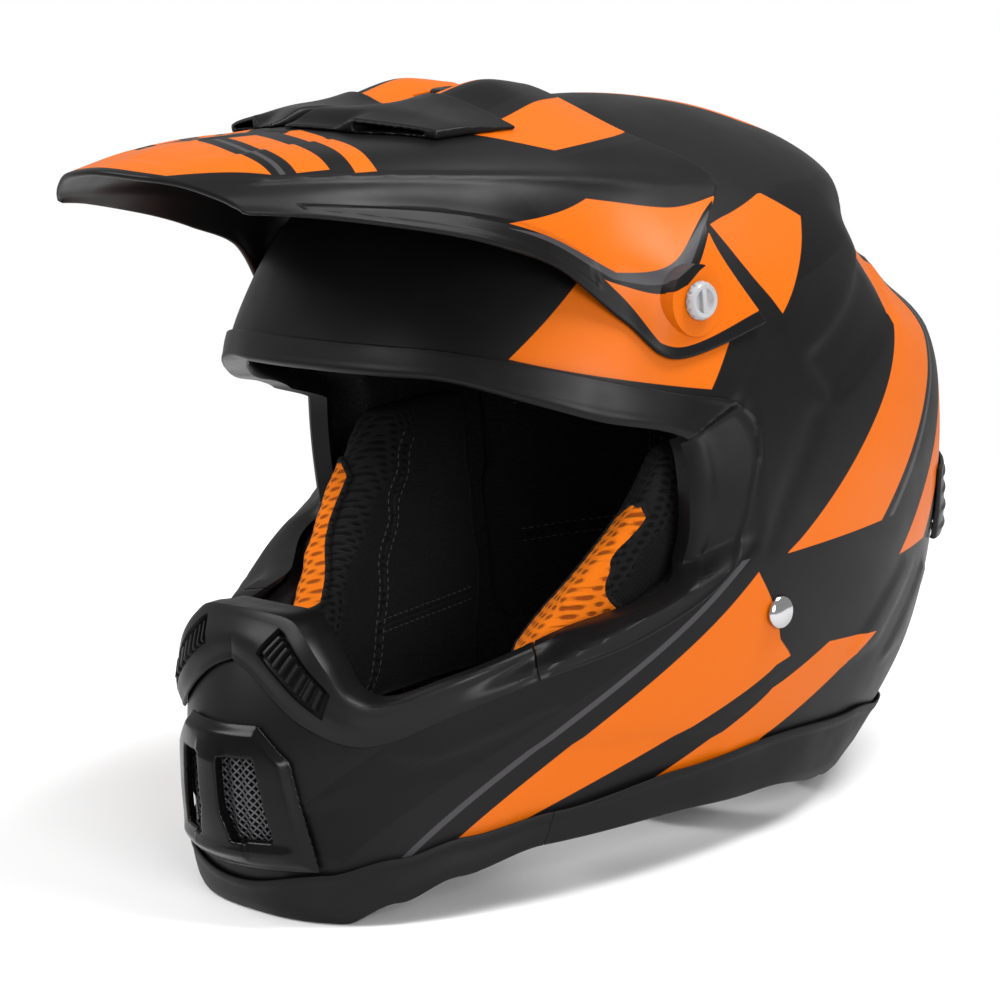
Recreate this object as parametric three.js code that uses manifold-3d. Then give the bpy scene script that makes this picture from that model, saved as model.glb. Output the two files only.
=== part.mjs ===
// Motocross helmet, resting on the rim of its neck opening.
// Millimetres. +Z is up, the face looks along -Y and the wearer's left side is +X.
// The origin is the middle of the neck opening, on the resting plane.

import * as THREE from "three";
import { mergeVertices } from "three/addons/utils/BufferGeometryUtils.js";
import Module from "manifold-3d";

const wasm = await Module();
wasm.setup();

// Driving dimensions of the outer shell
const shellHeight = 285; // resting plane to crown
const shellWidth = 252; // at the temples
const chinReach = 182; // origin to the front of the chin bar
const rearReach = 178; // origin to the back of the head
const shellWall = 3;
const shellHalf = shellWidth / 2;
const gap = 0.3; // air between two pieces that touch
const facetRoom = 1.7; // air that the flat facets of two curved faces need between them
const flangeLift = 0.9; // gasket and trim over the skin's flat facets
const overrun = 8; // how far a cut runs past the piece that it cuts
const finest = 0.004; // shortest edge that a solid keeps

// Eyeport gasket
const gasketFlange = 1.6; // stands proud of the shell
const gasketDepth = 9; // how far its bead reaches inwards
const beadShare = 0.35; // part of the gasket's breadth that the bead takes
const templeBevel = 15; // how far the shell is drawn in beside the eyeport
const valleyDepth = 5; // how far it is drawn in behind the ears
const noseRise = 4.5; // how far the nose guard stands proud at its middle
const inletWall = 1.4;

// Rubber trim round the lower rim
const rimFlange = 1.6;
const rimWeb = 5; // height of the foot under the shell's edge
const rimBreadth = 14; // breadth of the foot

// Impact liner
const linerSide = 32; // thickness at the temples
const linerCrown = 36;
const linerBack = 44;
const linerFront = 28;
const chinLinerThick = 18;

// Comfort liner
const crownPadThick = 9;
const cheekPadThick = 22;
const neckRollThick = 14;
const neckRollHeight = 28;
const rearPadTop = 0.68772 * shellHeight;
const rollLift = 3; // neck roll over the rim
const rollSpace = 5; // between the neck roll and the rear pad
const padInside = 1.6; // the liner's flat facets reach in by up to a millimetre
const chinPadThick = 7;
const panelThick = 1.2;
const padSnapRadius = 5.5;
const padSnapThick = 2;

// Visor
const visorWall = 2.4;
const pivotBack = -0.16758 * chinReach; // place of the side screws
const pivotHeight = 0.76316 * shellHeight;
const pivotBossRadius = 10;
const pivotBossFace = 0.92381 * shellHalf; // centre of the helmet to the flat of the boss
const bossDepth = 4; // how far the boss reaches in
const screwHeadRadius = 7.2;
const screwHeadThick = 3.4;
const screwGripThick = 1.5;
const screwShankRadius = 2.8;
const washerRadius = 8.6;
const washerThick = 1.1;
const earDiscThick = 2.6;
const earCollar = 3.2; // breadth of the collar that the ear has round its boss
const earDepth = 9;
const earRunning = 0.6; // air round the boss
const earClear = 1.4; // air between the collar and the shell, for the tilt
const insertRadius = 5;
const insertLength = 12;
const insertRoom = 1; // air behind the insert
const shankShort = 2; // the side screw ends this far before the insert
const shankClearance = 0.5;
const hoodRise = 4.4;
const hoodWall = 1.4;
const centreAhead = 6; // the middle screw lies ahead of the side screws
const centreMountRadius = 7;
const postLength = 20; // the post's length before the crown cuts its foot
const postScrew = 8; // how far the middle screw reaches into the post
const valleyHeight = 1.01754 * shellHeight; // top of the visor over the middle screw
const seatRise = 1; // flat seat of the middle screw over the visor's valley
const seatSide = 8.5;
const seatEdge = 4;
const tiltDown = 5; // degrees the visor tips forwards
const tiltUp = 3; // degrees it tips backwards
const tiltRoom = 1.5; // air under the visor for its tilt

// Chin vent
const ventHalfTop = 0.1508 * shellHalf;
const ventHalfShoulder = 0.246 * shellHalf;
const ventHalfBottom = 0.3016 * shellHalf;
const ventShoulder = 0.22105 * shellHeight; // height where its sides turn in
const ventTop = 0.26667 * shellHeight;
const ventBottom = 0.07368 * shellHeight;
const ventRise = 4.2; // how far its frame stands proud
const ventRim = 12; // breadth of its frame
const ventRibHalf = 4.5;
const meshThick = 1.2;

// Rear exhaust
const exhaustRise = 2.4;
const exhaustWall = 2;

// Chin strap and its hardware
const rivetBack = 0.5;
const rivetHeight = 0.32982 * shellHeight;
const rivetRadius = 6.4;
const rivetRise = 3.2;
const rivetShank = 2.4;
const strapWidth = 22;
const strapThick = 2.2;
const strapFloor = 6; // height of the strap's lowest run
const plateThick = 1.5;
const plateHalf = 9;
const plateRoom = 4; // air over the plate
const ringWire = 2; // radius of the D-rings' wire
const ringHalf = 15;
const ringCorner = 4;
const ringRoom = 0.6; // between the two rings
const strapRoom = 0.5; // between two layers of the strap
const wrapRoom = 1.1; // between the strap and a ring
const bowEase = 6; // length over which the strap leaves a ring
const innerBow = -0.14286 * shellHalf; // place across of the inner ring's bow
const outerBow = -0.2381 * shellHalf;
const ringBar = -0.44444 * shellHalf; // place across of the rings' straight bars
const tailEnd = 0.31746 * shellHalf;
const snapPlace = 0.2381 * shellHalf;
const snapRadius = 6;
const snapThick = 1.6;
const swingRoom = 30; // half breadth of the strap's notch in the impact liner

const strapHalf = strapWidth / 2;

// The shell's outline at rising heights.
// Shares: height of shellHeight, half width of shellHalf, front of chinReach, rear and centre of rearReach.
// The last two columns are the exponents of the rounded outline in front and behind.
const shellShares = [
  [0.0, 0.683, 0.907, 0.56, 0.0, 2.7, 2.3],
  [0.049, 0.786, 0.945, 0.66, 0.0, 2.2, 2.3],
  [0.105, 0.838, 0.965, 0.765, 0.0, 1.93, 2.3],
  [0.175, 0.885, 0.975, 0.87, 0.006, 1.78, 2.3],
  [0.253, 0.933, 0.965, 0.925, 0.011, 1.72, 2.3],
  [0.333, 0.968, 0.91, 0.955, 0.022, 1.78, 2.3],
  [0.4, 0.988, 0.835, 0.975, 0.028, 1.95, 2.3],
  [0.491, 1.0, 0.78, 0.99, 0.039, 2.15, 2.3],
  [0.579, 0.996, 0.709, 0.985, 0.045, 2.3, 2.3],
  [0.649, 0.98, 0.657, 0.935, 0.045, 2.3, 2.3],
  [0.702, 0.952, 0.637, 0.855, 0.045, 2.3, 2.3],
  [0.751, 0.913, 0.602, 0.795, 0.045, 2.28, 2.3],
  [0.807, 0.845, 0.555, 0.76, 0.045, 2.25, 2.3],
  [0.86, 0.754, 0.489, 0.725, 0.045, 2.25, 2.3],
  [0.902, 0.647, 0.407, 0.65, 0.051, 2.2, 2.3],
  [0.937, 0.524, 0.313, 0.545, 0.056, 2.2, 2.3],
  [0.967, 0.381, 0.203, 0.425, 0.062, 2.15, 2.25],
  [0.988, 0.23, 0.093, 0.285, 0.067, 2.1, 2.2],
  [0.998, 0.095, 0.0, 0.165, 0.067, 2.05, 2.1],
  [1.0, 0.0, -0.066, 0.067, 0.067, 2.0, 2.0],
];

// Half loops of the eyeport, from the middle of the brow to the middle of the chin.
// Each row: angle from the front in degrees, height share. The opening first, then the gasket's outer edge.
const openingShares = [
  [0, 0.695], [15, 0.693], [29, 0.686], [45, 0.653], [57, 0.625], [68, 0.604],
  [73.5, 0.579], [75, 0.526], [74.5, 0.439], [71, 0.393], [60, 0.361], [50, 0.34],
  [40, 0.316], [32, 0.295], [27, 0.305], [22, 0.344], [16, 0.379], [11, 0.398], [0, 0.402],
];
const gasketShares = [
  [0, 0.732], [15, 0.73], [29, 0.723], [45, 0.702], [57, 0.679], [70, 0.649],
  [81, 0.625], [85, 0.589], [84.5, 0.526], [80, 0.414], [66, 0.34], [52, 0.302],
  [42, 0.27], [34, 0.242], [28, 0.24], [20, 0.267], [12, 0.305], [6, 0.328], [0, 0.34],
];
const noseGuardRow = 11; // row of the half loops where the gasket meets the nose guard
const jointShare = 0.04; // part of a row that the joint leaves open

// Foot of the rim and upper edge of its rubber trim: angle in degrees, height share
const rimShares = [
  [0, 0, 0.053], [22, 0, 0.07], [35, 0.028, 0.088], [45, 0.055, 0.107], [57, 0.078, 0.122],
  [75, 0.08, 0.142], [90, 0.07, 0.15], [110, 0.044, 0.136], [130, 0.012, 0.112],
  [148, 0, 0.1], [180, 0, 0.1],
];
const rimJointAngle = 57; // where the front and rear trims meet, in degrees from the front
const rimJointOpen = 0.3; // degrees

// The visor's surface: rails from its middle to its lower edge, each from the front to the back.
// Shares: across of shellHalf, along of chinReach, height of shellHeight.
const visorShares = [
  [
    [0, -1.115, 0.998], [0, -0.984, 1.012], [0, -0.857, 1.017],
    [0, -0.731, 1.015], [0, -0.604, 1.013], [0, -0.478, 1.013],
    [0, -0.352, 1.015], [0, -0.231, 1.018], [0, -0.11, 1.018],
  ],
  [
    [0.143, -1.099, 0.993], [0.167, -0.973, 1.005], [0.19, -0.846, 1.01],
    [0.214, -0.72, 1.008], [0.222, -0.593, 1.004], [0.222, -0.467, 1.014],
    [0.206, -0.341, 1.032], [0.206, -0.22, 1.044], [0.19, -0.099, 1.03],
  ],
  [
    [0.27, -1.066, 0.984], [0.333, -0.945, 0.989], [0.389, -0.824, 0.991],
    [0.437, -0.703, 0.991], [0.476, -0.577, 0.989], [0.5, -0.451, 0.988],
    [0.516, -0.319, 0.984], [0.516, -0.187, 0.979], [0.492, -0.055, 0.972],
  ],
  [
    [0.373, -1.033, 0.967], [0.452, -0.923, 0.963], [0.524, -0.808, 0.958],
    [0.587, -0.681, 0.951], [0.635, -0.549, 0.942], [0.675, -0.407, 0.933],
    [0.698, -0.258, 0.923], [0.714, -0.099, 0.912], [0.722, 0.055, 0.902],
  ],
  [
    [0.421, -1.016, 0.954], [0.508, -0.907, 0.946], [0.587, -0.78, 0.933],
    [0.651, -0.654, 0.918], [0.706, -0.538, 0.898], [0.746, -0.418, 0.87],
    [0.81, -0.297, 0.828], [0.917, -0.187, 0.8], [0.881, -0.071, 0.839],
  ],
  [
    [0.444, -1.005, 0.944], [0.548, -0.89, 0.932], [0.635, -0.769, 0.914],
    [0.698, -0.643, 0.891], [0.738, -0.533, 0.865], [0.754, -0.407, 0.825],
    [0.841, -0.302, 0.751], [0.937, -0.22, 0.696], [0.98, 0.005, 0.719],
  ],
];

// Side path of the chin strap below its rivet. Shares: across of shellHalf, height of rivetHeight
const strapSideShares = [[0.873, 0.745], [0.802, 0.574], [0.714, 0.372], [0.595, 0.197], [0.46, 0.096]];

const last = shellShares.length - 1;
const degrees = Math.PI / 180;
const clamp01 = (v) => Math.min(1, Math.max(0, v));
const mix = (a, b, f) => a + (b - a) * f;
const steps = (n) => Array.from({ length: n + 1 }, (_, i) => i / n);
const smooth = (a, b, v) => {
  const f = clamp01((v - a) / (b - a));
  return f * f * (3 - 2 * f);
};

// Smooth curve through rows of numbers, at place s counted in rows
function rowAt(rows, s) {
  const last = rows.length - 1;
  const i = Math.min(last - 1, Math.max(0, Math.floor(s)));
  const f = s - i;
  const pick = (k) => rows[Math.min(last, Math.max(0, k))];
  const [a, b, c, d] = [pick(i - 1), pick(i), pick(i + 1), pick(i + 2)];
  return b.map((_, k) => {
    const bend = 2 * a[k] - 5 * b[k] + 4 * c[k] - d[k];
    const twist = 3 * b[k] - a[k] - 3 * c[k] + d[k];
    return (2 * b[k] + (c[k] - a[k]) * f + bend * f * f + twist * f * f * f) / 2;
  });
}

// Value in a table whose first column rises, eased between its rows
function tableAt(rows, value, column) {
  const last = rows.length - 1;
  if (value >= rows[last][0]) return rows[last][column];
  const i = rows.findIndex((_, k) => k < last && value < rows[k + 1][0]);
  return mix(rows[i][column], rows[i + 1][column], smooth(rows[i][0], rows[i + 1][0], value));
}

// Where a rising quantity stops being low, between two values
function solve(isLow, from, to) {
  let [low, high] = [from, to];
  for (let i = 0; i < 30; i++) {
    const middle = (low + high) / 2;
    if (isLow(middle)) low = middle;
    else high = middle;
  }
  return (low + high) / 2;
}

// Row place of a height share
const placeOf = (share) => solve((place) => rowAt(shellShares, place)[0] < share, 0, last);

// A point on the rounded outline of one height, drawn in by side, front and back amounts
function outlinePoint(row, angle, side, front, back) {
  const t = angle * degrees;
  const half = Math.max(0, row[1] * shellHalf - side);
  const centre = row[4] * rearReach;
  const ahead = Math.max(0, row[2] * chinReach + centre - front);
  const behind = Math.max(0, row[3] * rearReach - centre - back);
  const forwards = Math.cos(t) >= 0;
  const power = 2 / (forwards ? row[5] : row[6]);
  const across = Math.sign(Math.sin(t)) * Math.abs(Math.sin(t)) ** power * half;
  const along = Math.abs(Math.cos(t)) ** power * (forwards ? -ahead : behind);
  return [across, centre + along];
}

// How far the skin is moved out of the plain outline, at an angle and a height share
function sculpt(angle, share) {
  const a = Math.abs(angle > 180 ? angle - 360 : angle);
  const across = clamp01((84.5 - a) / 10.5) * smooth(40, 58, a);
  const top = 0.579 + (a - 73.5) * 0.0043;
  const bottom = 0.393 + (a - 71) * 0.0035;
  const window = smooth(bottom - 0.012, bottom + 0.016, share) * (1 - smooth(top - 0.01, top + 0.016, share));
  const valley = smooth(118, 132, a) * (1 - smooth(150, 164, a)) * smooth(0.62, 0.7, share) * (1 - smooth(0.78, 0.86, share));
  return -templeBevel * across * window - valleyDepth * valley;
}

// A point of the plain outline, without its sculpting
function plainSkin(angle, place) {
  const row = rowAt(shellShares, place);
  const [x, y] = outlinePoint(row, angle, 0, 0, 0);
  return new THREE.Vector3(x, y, row[0] * shellHeight);
}

// A point of the shell's skin, pushed out square to the plain outline
function skin(angle, place, out = 0) {
  const point = plainSkin(angle, place);
  const row = rowAt(shellShares, place);
  const centre = row[4] * rearReach;
  const radius = Math.hypot(point.x, point.y - centre) || 1;
  const d = sculpt(angle, row[0]);
  const sculpted = new THREE.Vector3(
    point.x + (d * point.x) / radius, point.y + (d * (point.y - centre)) / radius, point.z,
  );
  if (out === 0) return sculpted;
  const normal = new THREE.Vector3(0, 0, 1);
  if (place < last - 0.3) {
    const step = 0.05;
    const round = plainSkin(angle + 1, place).sub(plainSkin(angle - 1, place));
    const rise = plainSkin(angle, place + step).sub(plainSkin(angle, Math.max(0, place - step)));
    normal.crossVectors(round, rise).normalize();
  }
  return sculpted.addScaledVector(normal, out);
}

const skinAt = (angle, share, out) => skin(angle, placeOf(share), out);

// Height of the liner's inside: level with the skin at the rim, lower towards the crown
const cavityHeight = (share, inwards) => share * shellHeight - share ** 3 * (linerCrown + inwards);

// A point on the inside of the impact liner: the outline of the skin, drawn in
function cavity(angle, place, inwards = 0) {
  const row = rowAt(shellShares, place);
  const side = mix(linerSide * 0.4, linerSide, smooth(0, 0.36, row[0])) + inwards;
  const back = mix(linerBack * 0.36, linerBack, smooth(0, 0.45, row[0])) + inwards;
  const front = mix(linerFront * 0.6, linerFront, smooth(0.4, 0.62, row[0])) + inwards;
  const fade = Math.sqrt(clamp01((1 - row[0]) / 0.1));
  const [x, y] = outlinePoint(row, angle, side * fade, front * fade, back * fade);
  return new THREE.Vector3(x, y, cavityHeight(row[0], inwards));
}

// Row place of the inside that lies at a height
const cavityPlace = (height, inwards = 0) =>
  solve((place) => cavityHeight(rowAt(shellShares, place)[0], inwards) < height, 0, last);

// Closed geometry from triangles given as corner points
function geometryOf(triangles) {
  const places = [];
  const index = [];
  const seen = new Map();
  const number = (p) => {
    const key = [p.x, p.y, p.z].map((v) => Math.round(v * 1e4)).join();
    if (!seen.has(key)) {
      seen.set(key, places.length / 3);
      places.push(p.x, p.y, p.z);
    }
    return seen.get(key);
  };
  for (const corners of triangles) {
    const [a, b, c] = corners.map(number);
    if (a !== b && b !== c && c !== a) index.push(a, b, c);
  }
  const geometry = new THREE.BufferGeometry();
  geometry.setAttribute("position", new THREE.Float32BufferAttribute(places, 3));
  geometry.setIndex(index);
  return geometry;
}

// Geometry to solid and back
function solidOf(geometry) {
  const bare = geometry.clone();
  for (const name of Object.keys(bare.attributes)) if (name !== "position") bare.deleteAttribute(name);
  const merged = mergeVertices(bare, 1e-4);
  const made = (index) =>
    new wasm.Manifold(
      new wasm.Mesh({ numProp: 3, vertProperties: merged.attributes.position.array, triVerts: index }),
    );
  const index = new Uint32Array(merged.index.array);
  const solid = made(index);
  if (solid.volume() >= 0) return solid;
  for (let i = 0; i < index.length; i += 3) [index[i + 1], index[i + 2]] = [index[i + 2], index[i + 1]];
  return made(index);
}

function geometryFrom(solid) {
  const mesh = solid.getMesh();
  const places = new Float32Array(mesh.numVert * 3);
  for (let i = 0; i < mesh.numVert; i++)
    for (let k = 0; k < 3; k++) places[i * 3 + k] = mesh.vertProperties[i * mesh.numProp + k];
  const geometry = new THREE.BufferGeometry();
  geometry.setAttribute("position", new THREE.BufferAttribute(places, 3));
  geometry.setIndex(new THREE.BufferAttribute(new Uint32Array(mesh.triVerts), 1));
  return geometry;
}

// A solid swept through closed sections that all have the same number of corners
function sweep(sections, closed = false) {
  const triangles = [];
  const corners = sections[0].length;
  const spans = closed ? sections.length : sections.length - 1;
  for (let i = 0; i < spans; i++) {
    const [here, next] = [sections[i], sections[(i + 1) % sections.length]];
    for (let j = 0; j < corners; j++) {
      const k = (j + 1) % corners;
      triangles.push([here[j], next[j], next[k]], [here[j], next[k], here[k]]);
    }
  }
  if (!closed)
    for (const [section, flip] of [[sections[0], false], [sections[sections.length - 1], true]]) {
      const middle = section.reduce((sum, p) => sum.add(p), new THREE.Vector3()).divideScalar(corners);
      section.forEach((p, j) => {
        const q = section[(j + 1) % corners];
        triangles.push(flip ? [middle, q, p] : [middle, p, q]);
      });
    }
  return solidOf(geometryOf(triangles));
}

// A solid between two grids of points that lie one over the other; ring joins the last column to the first
function slab(outer, inner, ring = false) {
  const triangles = [];
  const quad = (a, b, c, d) => triangles.push([a, b, c], [a, c, d]);
  const count = outer.length;
  const wide = ring ? count : count - 1;
  const tall = outer[0].length - 1;
  for (let i = 0; i < wide; i++) {
    const n = (i + 1) % count;
    for (let j = 0; j < tall; j++) {
      quad(outer[i][j], outer[n][j], outer[n][j + 1], outer[i][j + 1]);
      quad(inner[i][j], inner[i][j + 1], inner[n][j + 1], inner[n][j]);
    }
    quad(outer[i][0], inner[i][0], inner[n][0], outer[n][0]);
    quad(outer[i][tall], outer[n][tall], inner[n][tall], inner[i][tall]);
  }
  for (let j = 0; j < tall && !ring; j++) {
    quad(outer[0][j], outer[0][j + 1], inner[0][j + 1], inner[0][j]);
    quad(outer[wide][j], inner[wide][j], inner[wide][j + 1], outer[wide][j + 1]);
  }
  return solidOf(geometryOf(triangles));
}

// A slab over a field of places: point(u, v, out) with u and v from 0 to 1
function patch(point, columns, rows, outOuter, outInner) {
  const grid = (out) =>
    steps(columns).map((u) => steps(rows).map((v) => point(u, v, typeof out === "function" ? out(u, v) : out)));
  return slab(grid(outOuter), grid(outInner));
}

// Simple solids, placed
const moved = (geometry, x, y, z) => solidOf(geometry.translate(x, y, z));
const boxBetween = (x0, x1, y0, y1, z0, z1) =>
  moved(new THREE.BoxGeometry(x1 - x0, y1 - y0, z1 - z0), (x0 + x1) / 2, (y0 + y1) / 2, (z0 + z1) / 2);

// A cylinder along X from one place to another
function barX(x0, x1, y, z, radius, sides = 16) {
  const bar = new THREE.CylinderGeometry(radius, radius, Math.abs(x1 - x0), sides).rotateZ(Math.PI / 2);
  return moved(bar, (x0 + x1) / 2, y, z);
}

// A cylinder along Z from one place to another
function barZ(x, y, z0, z1, radius, sides = 20) {
  const bar = new THREE.CylinderGeometry(radius, radius, z1 - z0, sides).rotateX(Math.PI / 2);
  return moved(bar, x, y, (z0 + z1) / 2);
}

// A turned piece along X, given as rows of [radius, distance outwards from x]
function turnedX(profile, side, x, y, z, sides = 16) {
  const points = profile.map(([r, h]) => new THREE.Vector2(r, h));
  return moved(new THREE.LatheGeometry(points, sides).rotateZ((-side * Math.PI) / 2), x, y, z);
}

// Columns and rows of the shell's grid, closer together round the eyeport
const mirrored = (half) => [...half, 180, ...half.slice(1).reverse().map((a) => 360 - a)];
const roundAngles = mirrored([0, 12, 24, 36, 47, 58, 67, 74, 80, 86, 98, 112, 126, 140, 153, 167]);
const linerAngles = mirrored([0, 20, 40, 56, 68, 76, 85, 104, 123, 142, 161]);
const riseShares = [0, 0.09, 0.18, 0.26, 0.33, 0.39, 0.47, 0.53, 0.57, 0.65, 0.73, 0.81, 0.88, 0.94, 0.98, 1];
const linerShares = [0, 0.15, 0.3, 0.42, 0.55, 0.68, 0.8, 0.89, 0.96, 1];

const wrap = (angle) => (angle > 180 ? angle - 360 : angle);
const footShare = (angle) => tableAt(rimShares, Math.abs(wrap(angle)), 1);
const trimShare = (angle) => tableAt(rimShares, Math.abs(wrap(angle)), 2);
const webTop = rimWeb / shellHeight;
const gapShare = gap / shellHeight;

// A closed dome between two surfaces, from the rim's web to the crown
function dome(outer, inner, { lift = 0, angles = roundAngles, shares = riseShares } = {}) {
  const grid = (point) =>
    angles.map((angle) => {
      const low = footShare(angle) + webTop + gapShare + lift;
      return shares.map((f) => point(angle, placeOf(mix(low, 1, f))));
    });
  return slab(grid(outer), grid(inner), true);
}

// Loop of the eyeport at a fraction of the gasket's breadth, as [angle, height share]
const halfLoop = (fraction) =>
  openingShares.map(([a, h], k) => [mix(a, gasketShares[k][0], fraction), mix(h, gasketShares[k][1], fraction)]);
const fullLoop = (fraction) => {
  const half = halfLoop(fraction);
  return [...half, ...half.slice(1, -1).reverse().map(([a, h]) => [-a, h])];
};

// A cut through the eyeport, grown by a clearance
function eyeportCutter(fraction, grow) {
  const eyeHeight = 0.53 * shellHeight;
  const rays = fullLoop(fraction).map(([angle, share]) => {
    const p = skinAt(angle, share);
    const rise = p.z - eyeHeight;
    const wider = 1 + grow / Math.hypot(p.x, rise);
    return (reach) => new THREE.Vector3(p.x * reach * wider, p.y * reach, eyeHeight + rise * wider);
  });
  const rings = [1.5, 1.03, 0.9, 0.45].map((reach) => rays.map((ray) => ray(reach)));
  const capOut = new THREE.Vector3(0, -chinReach * 1.6, eyeHeight);
  const capIn = new THREE.Vector3(0, -chinReach * 0.2, eyeHeight);
  const triangles = [];
  rays.forEach((_, i) => {
    const n = (i + 1) % rays.length;
    for (let k = 0; k + 1 < rings.length; k++) {
      const [a, b, c, d] = [rings[k][i], rings[k][n], rings[k + 1][n], rings[k + 1][i]];
      triangles.push([a, b, c], [a, c, d]);
    }
    triangles.push([rings[0][n], rings[0][i], capOut], [rings[3][i], rings[3][n], capIn]);
  });
  return solidOf(geometryOf(triangles));
}

// Front of the chin at a place across and a height
function chinFront(x, height, out = 0) {
  const place = placeOf(height / shellHeight);
  const row = rowAt(shellShares, place);
  const share = clamp01(Math.abs(x) / (row[1] * shellHalf));
  const angle = Math.sign(x) * Math.asin(share ** (row[5] / 2)) / degrees;
  return skin(angle, place, out);
}

// Half breadth of the chin vent at a height, drawn in by an amount
const ventSides = [[ventBottom, ventHalfBottom], [ventShoulder, ventHalfShoulder], [ventTop, ventHalfTop]];
const ventHalf = (height, inset) => {
  const [low, high] = height < ventShoulder ? ventSides.slice(0, 2) : ventSides.slice(1);
  return mix(low[1], high[1], (height - low[0]) / (high[0] - low[0])) - inset;
};
const ventPoint = (inset) => (u, v, out) => {
  const height = mix(ventBottom + inset, ventTop - inset, v);
  return chinFront(mix(-1, 1, u) * ventHalf(height, inset), height, out);
};

// The visor's surface; along from 0 at its front to 1 at its back, across from -1 to 1
const visorRails = visorShares.map((rail) =>
  rail.map(([across, along, rise]) => [across * shellHalf, along * chinReach, rise * shellHeight]),
);
const mirroredRails = [
  ...visorRails.slice(1).reverse().map((rail) => rail.map(([x, y, z]) => [-x, y, z])),
  ...visorRails,
];
const sideRails = visorRails.length - 1;
function visorPoint(along, across) {
  const s = along * (visorRails[0].length - 1);
  const rail = mirroredRails.map((r) => rowAt(r, s));
  return new THREE.Vector3(...rowAt(rail, (across + 1) * sideRails));
}
function visorAt(along, across, out = 0) {
  const step = 0.01;
  const length = visorPoint(Math.min(1, along + step), across).sub(visorPoint(Math.max(0, along - step), across));
  const breadth = visorPoint(along, Math.min(1, across + step)).sub(visorPoint(along, Math.max(-1, across - step)));
  const normal = breadth.cross(length).normalize();
  return visorPoint(along, across).addScaledVector(normal, out);
}

// Shell and impact liner
const eyeportCut = eyeportCutter(beadShare, gap);
const sideHole = (side, radius, from, to) => barX(side * from, side * to, pivotBack, pivotHeight, radius);
const rivetHole = (side) =>
  barX(side * shellHalf * 0.7, side * (shellHalf + overrun), rivetBack, rivetHeight, rivetShank + gap);
const exhaustPoint = (side, inset) => (u, v, out) =>
  skinAt(side * mix(132 + inset * 3, 152 - inset * 3, u), mix(0.33 + inset * 0.012, 0.43 - inset * 0.012, v), out);

// What the shell takes up together with the air round it
function shellRoom() {
  const room = dome((a, s) => skin(a, s, gap), (a, s) => skin(a, s, -shellWall - gap), { lift: -gapShare });
  return room.subtract(eyeportCutter(beadShare, 0));
}

function outerShell() {
  let shell = dome(skin, (a, s) => skin(a, s, -shellWall));
  shell = shell.subtract(eyeportCut);
  shell = shell.subtract(patch(ventPoint(ventRim * 0.6), 8, 4, overrun, -overrun));
  for (const side of [-1, 1]) {
    const bossRoot = pivotBossFace - bossDepth;
    shell = shell.add(sideHole(side, pivotBossRadius, bossRoot, pivotBossFace));
    shell = shell.subtract(sideHole(side, insertRadius + gap, bossRoot - overrun, pivotBossFace + overrun));
    shell = shell.subtract(rivetHole(side));
    shell = shell.subtract(patch(exhaustPoint(side, 1), 3, 3, overrun, -overrun));
  }
  return shell;
}

const linerSetBack = 0.6; // part of the gasket's breadth that the liner stays back from the eyeport
const chinSplit = -0.48352 * chinReach; // the chin's liner lies ahead of this plane
const chinTop = 0.4 * shellHeight;

const linerFit = shellWall + facetRoom;
const linerDome = (inwards) =>
  dome((a, s) => skin(a, s, -linerFit), (a, s) => cavity(a, s, inwards), {
    lift: inwards > 0 ? gapShare : 2 * gapShare,
    angles: linerAngles,
    shares: linerShares,
  });

function impactLiner() {
  const chinBox = boxBetween(-shellWidth, shellWidth, -2 * chinReach, chinSplit, -overrun, chinTop);
  let liner = linerDome(0).subtract(room).subtract(eyeportCutter(linerSetBack, gap)).subtract(chinBox);
  for (const near of [shell, ...trims]) liner = liner.subtract(near);
  for (const side of [-1, 1]) {
    const [from, to] = [side * shellHalf * 0.35, side * shellWidth].sort((a, b) => a - b);
    const notchTop = rivetHeight + plateHalf + plateRoom;
    liner = liner.subtract(
      boxBetween(from, to, rivetBack - swingRoom, rivetBack + swingRoom, -overrun, notchTop),
    );
    const boreEnd = pivotBossFace - insertLength - insertRoom;
    liner = liner.subtract(sideHole(side, insertRadius + 2 * gap, boreEnd, shellWidth));
    liner = liner.subtract(patch(exhaustPoint(side, 1), 3, 3, overrun, -linerBack * 0.5));
    for (const place of padSnaps) liner = liner.subtract(padSnap(side, place, gap));
  }
  return liner;
}

function chinLiner() {
  const point = (u, v, out) => {
    const angle = mix(-33, 33, u);
    const foot = placeOf(footShare(angle) + webTop + gapShare);
    const top = placeOf(mix(0.3, 0.235, smooth(8, 26, Math.abs(angle))));
    return skin(angle, mix(foot, top, v), out);
  };
  const vent = patch(ventPoint(ventRim * 1.3), 3, 1, overrun, -4 * overrun);
  return patch(point, 10, 3, -linerFit, -linerFit - chinLinerThick).subtract(vent);
}

// Gasket and nose guard: corners of the section at a place of the half loop
function gasketSection(rowPlace, side, rise) {
  const [openAngle, openShare] = rowAt(openingShares, rowPlace);
  const [edgeAngle, edgeShare] = rowAt(gasketShares, rowPlace);
  const at = (fraction, out) =>
    skinAt(side * mix(openAngle, edgeAngle, fraction), mix(openShare, edgeShare, fraction), out);
  const inwards = (p, depth) => {
    const reach = Math.hypot(p.x, p.y);
    return new THREE.Vector3(p.x * (1 - depth / reach), p.y * (1 - depth / reach), p.z);
  };
  const bead = beadShare * 0.93;
  return [
    at(1, flangeLift), at(1, gap + gasketFlange),
    at(0.6, gap + gasketFlange + rise), at(0.25, gap + gasketFlange + rise),
    at(0, gap), inwards(at(0, 0), gasketDepth),
    inwards(at(bead, 0), gasketDepth), inwards(at(bead, 0), -flangeLift), at(0.6, flangeLift),
  ];
}

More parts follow.
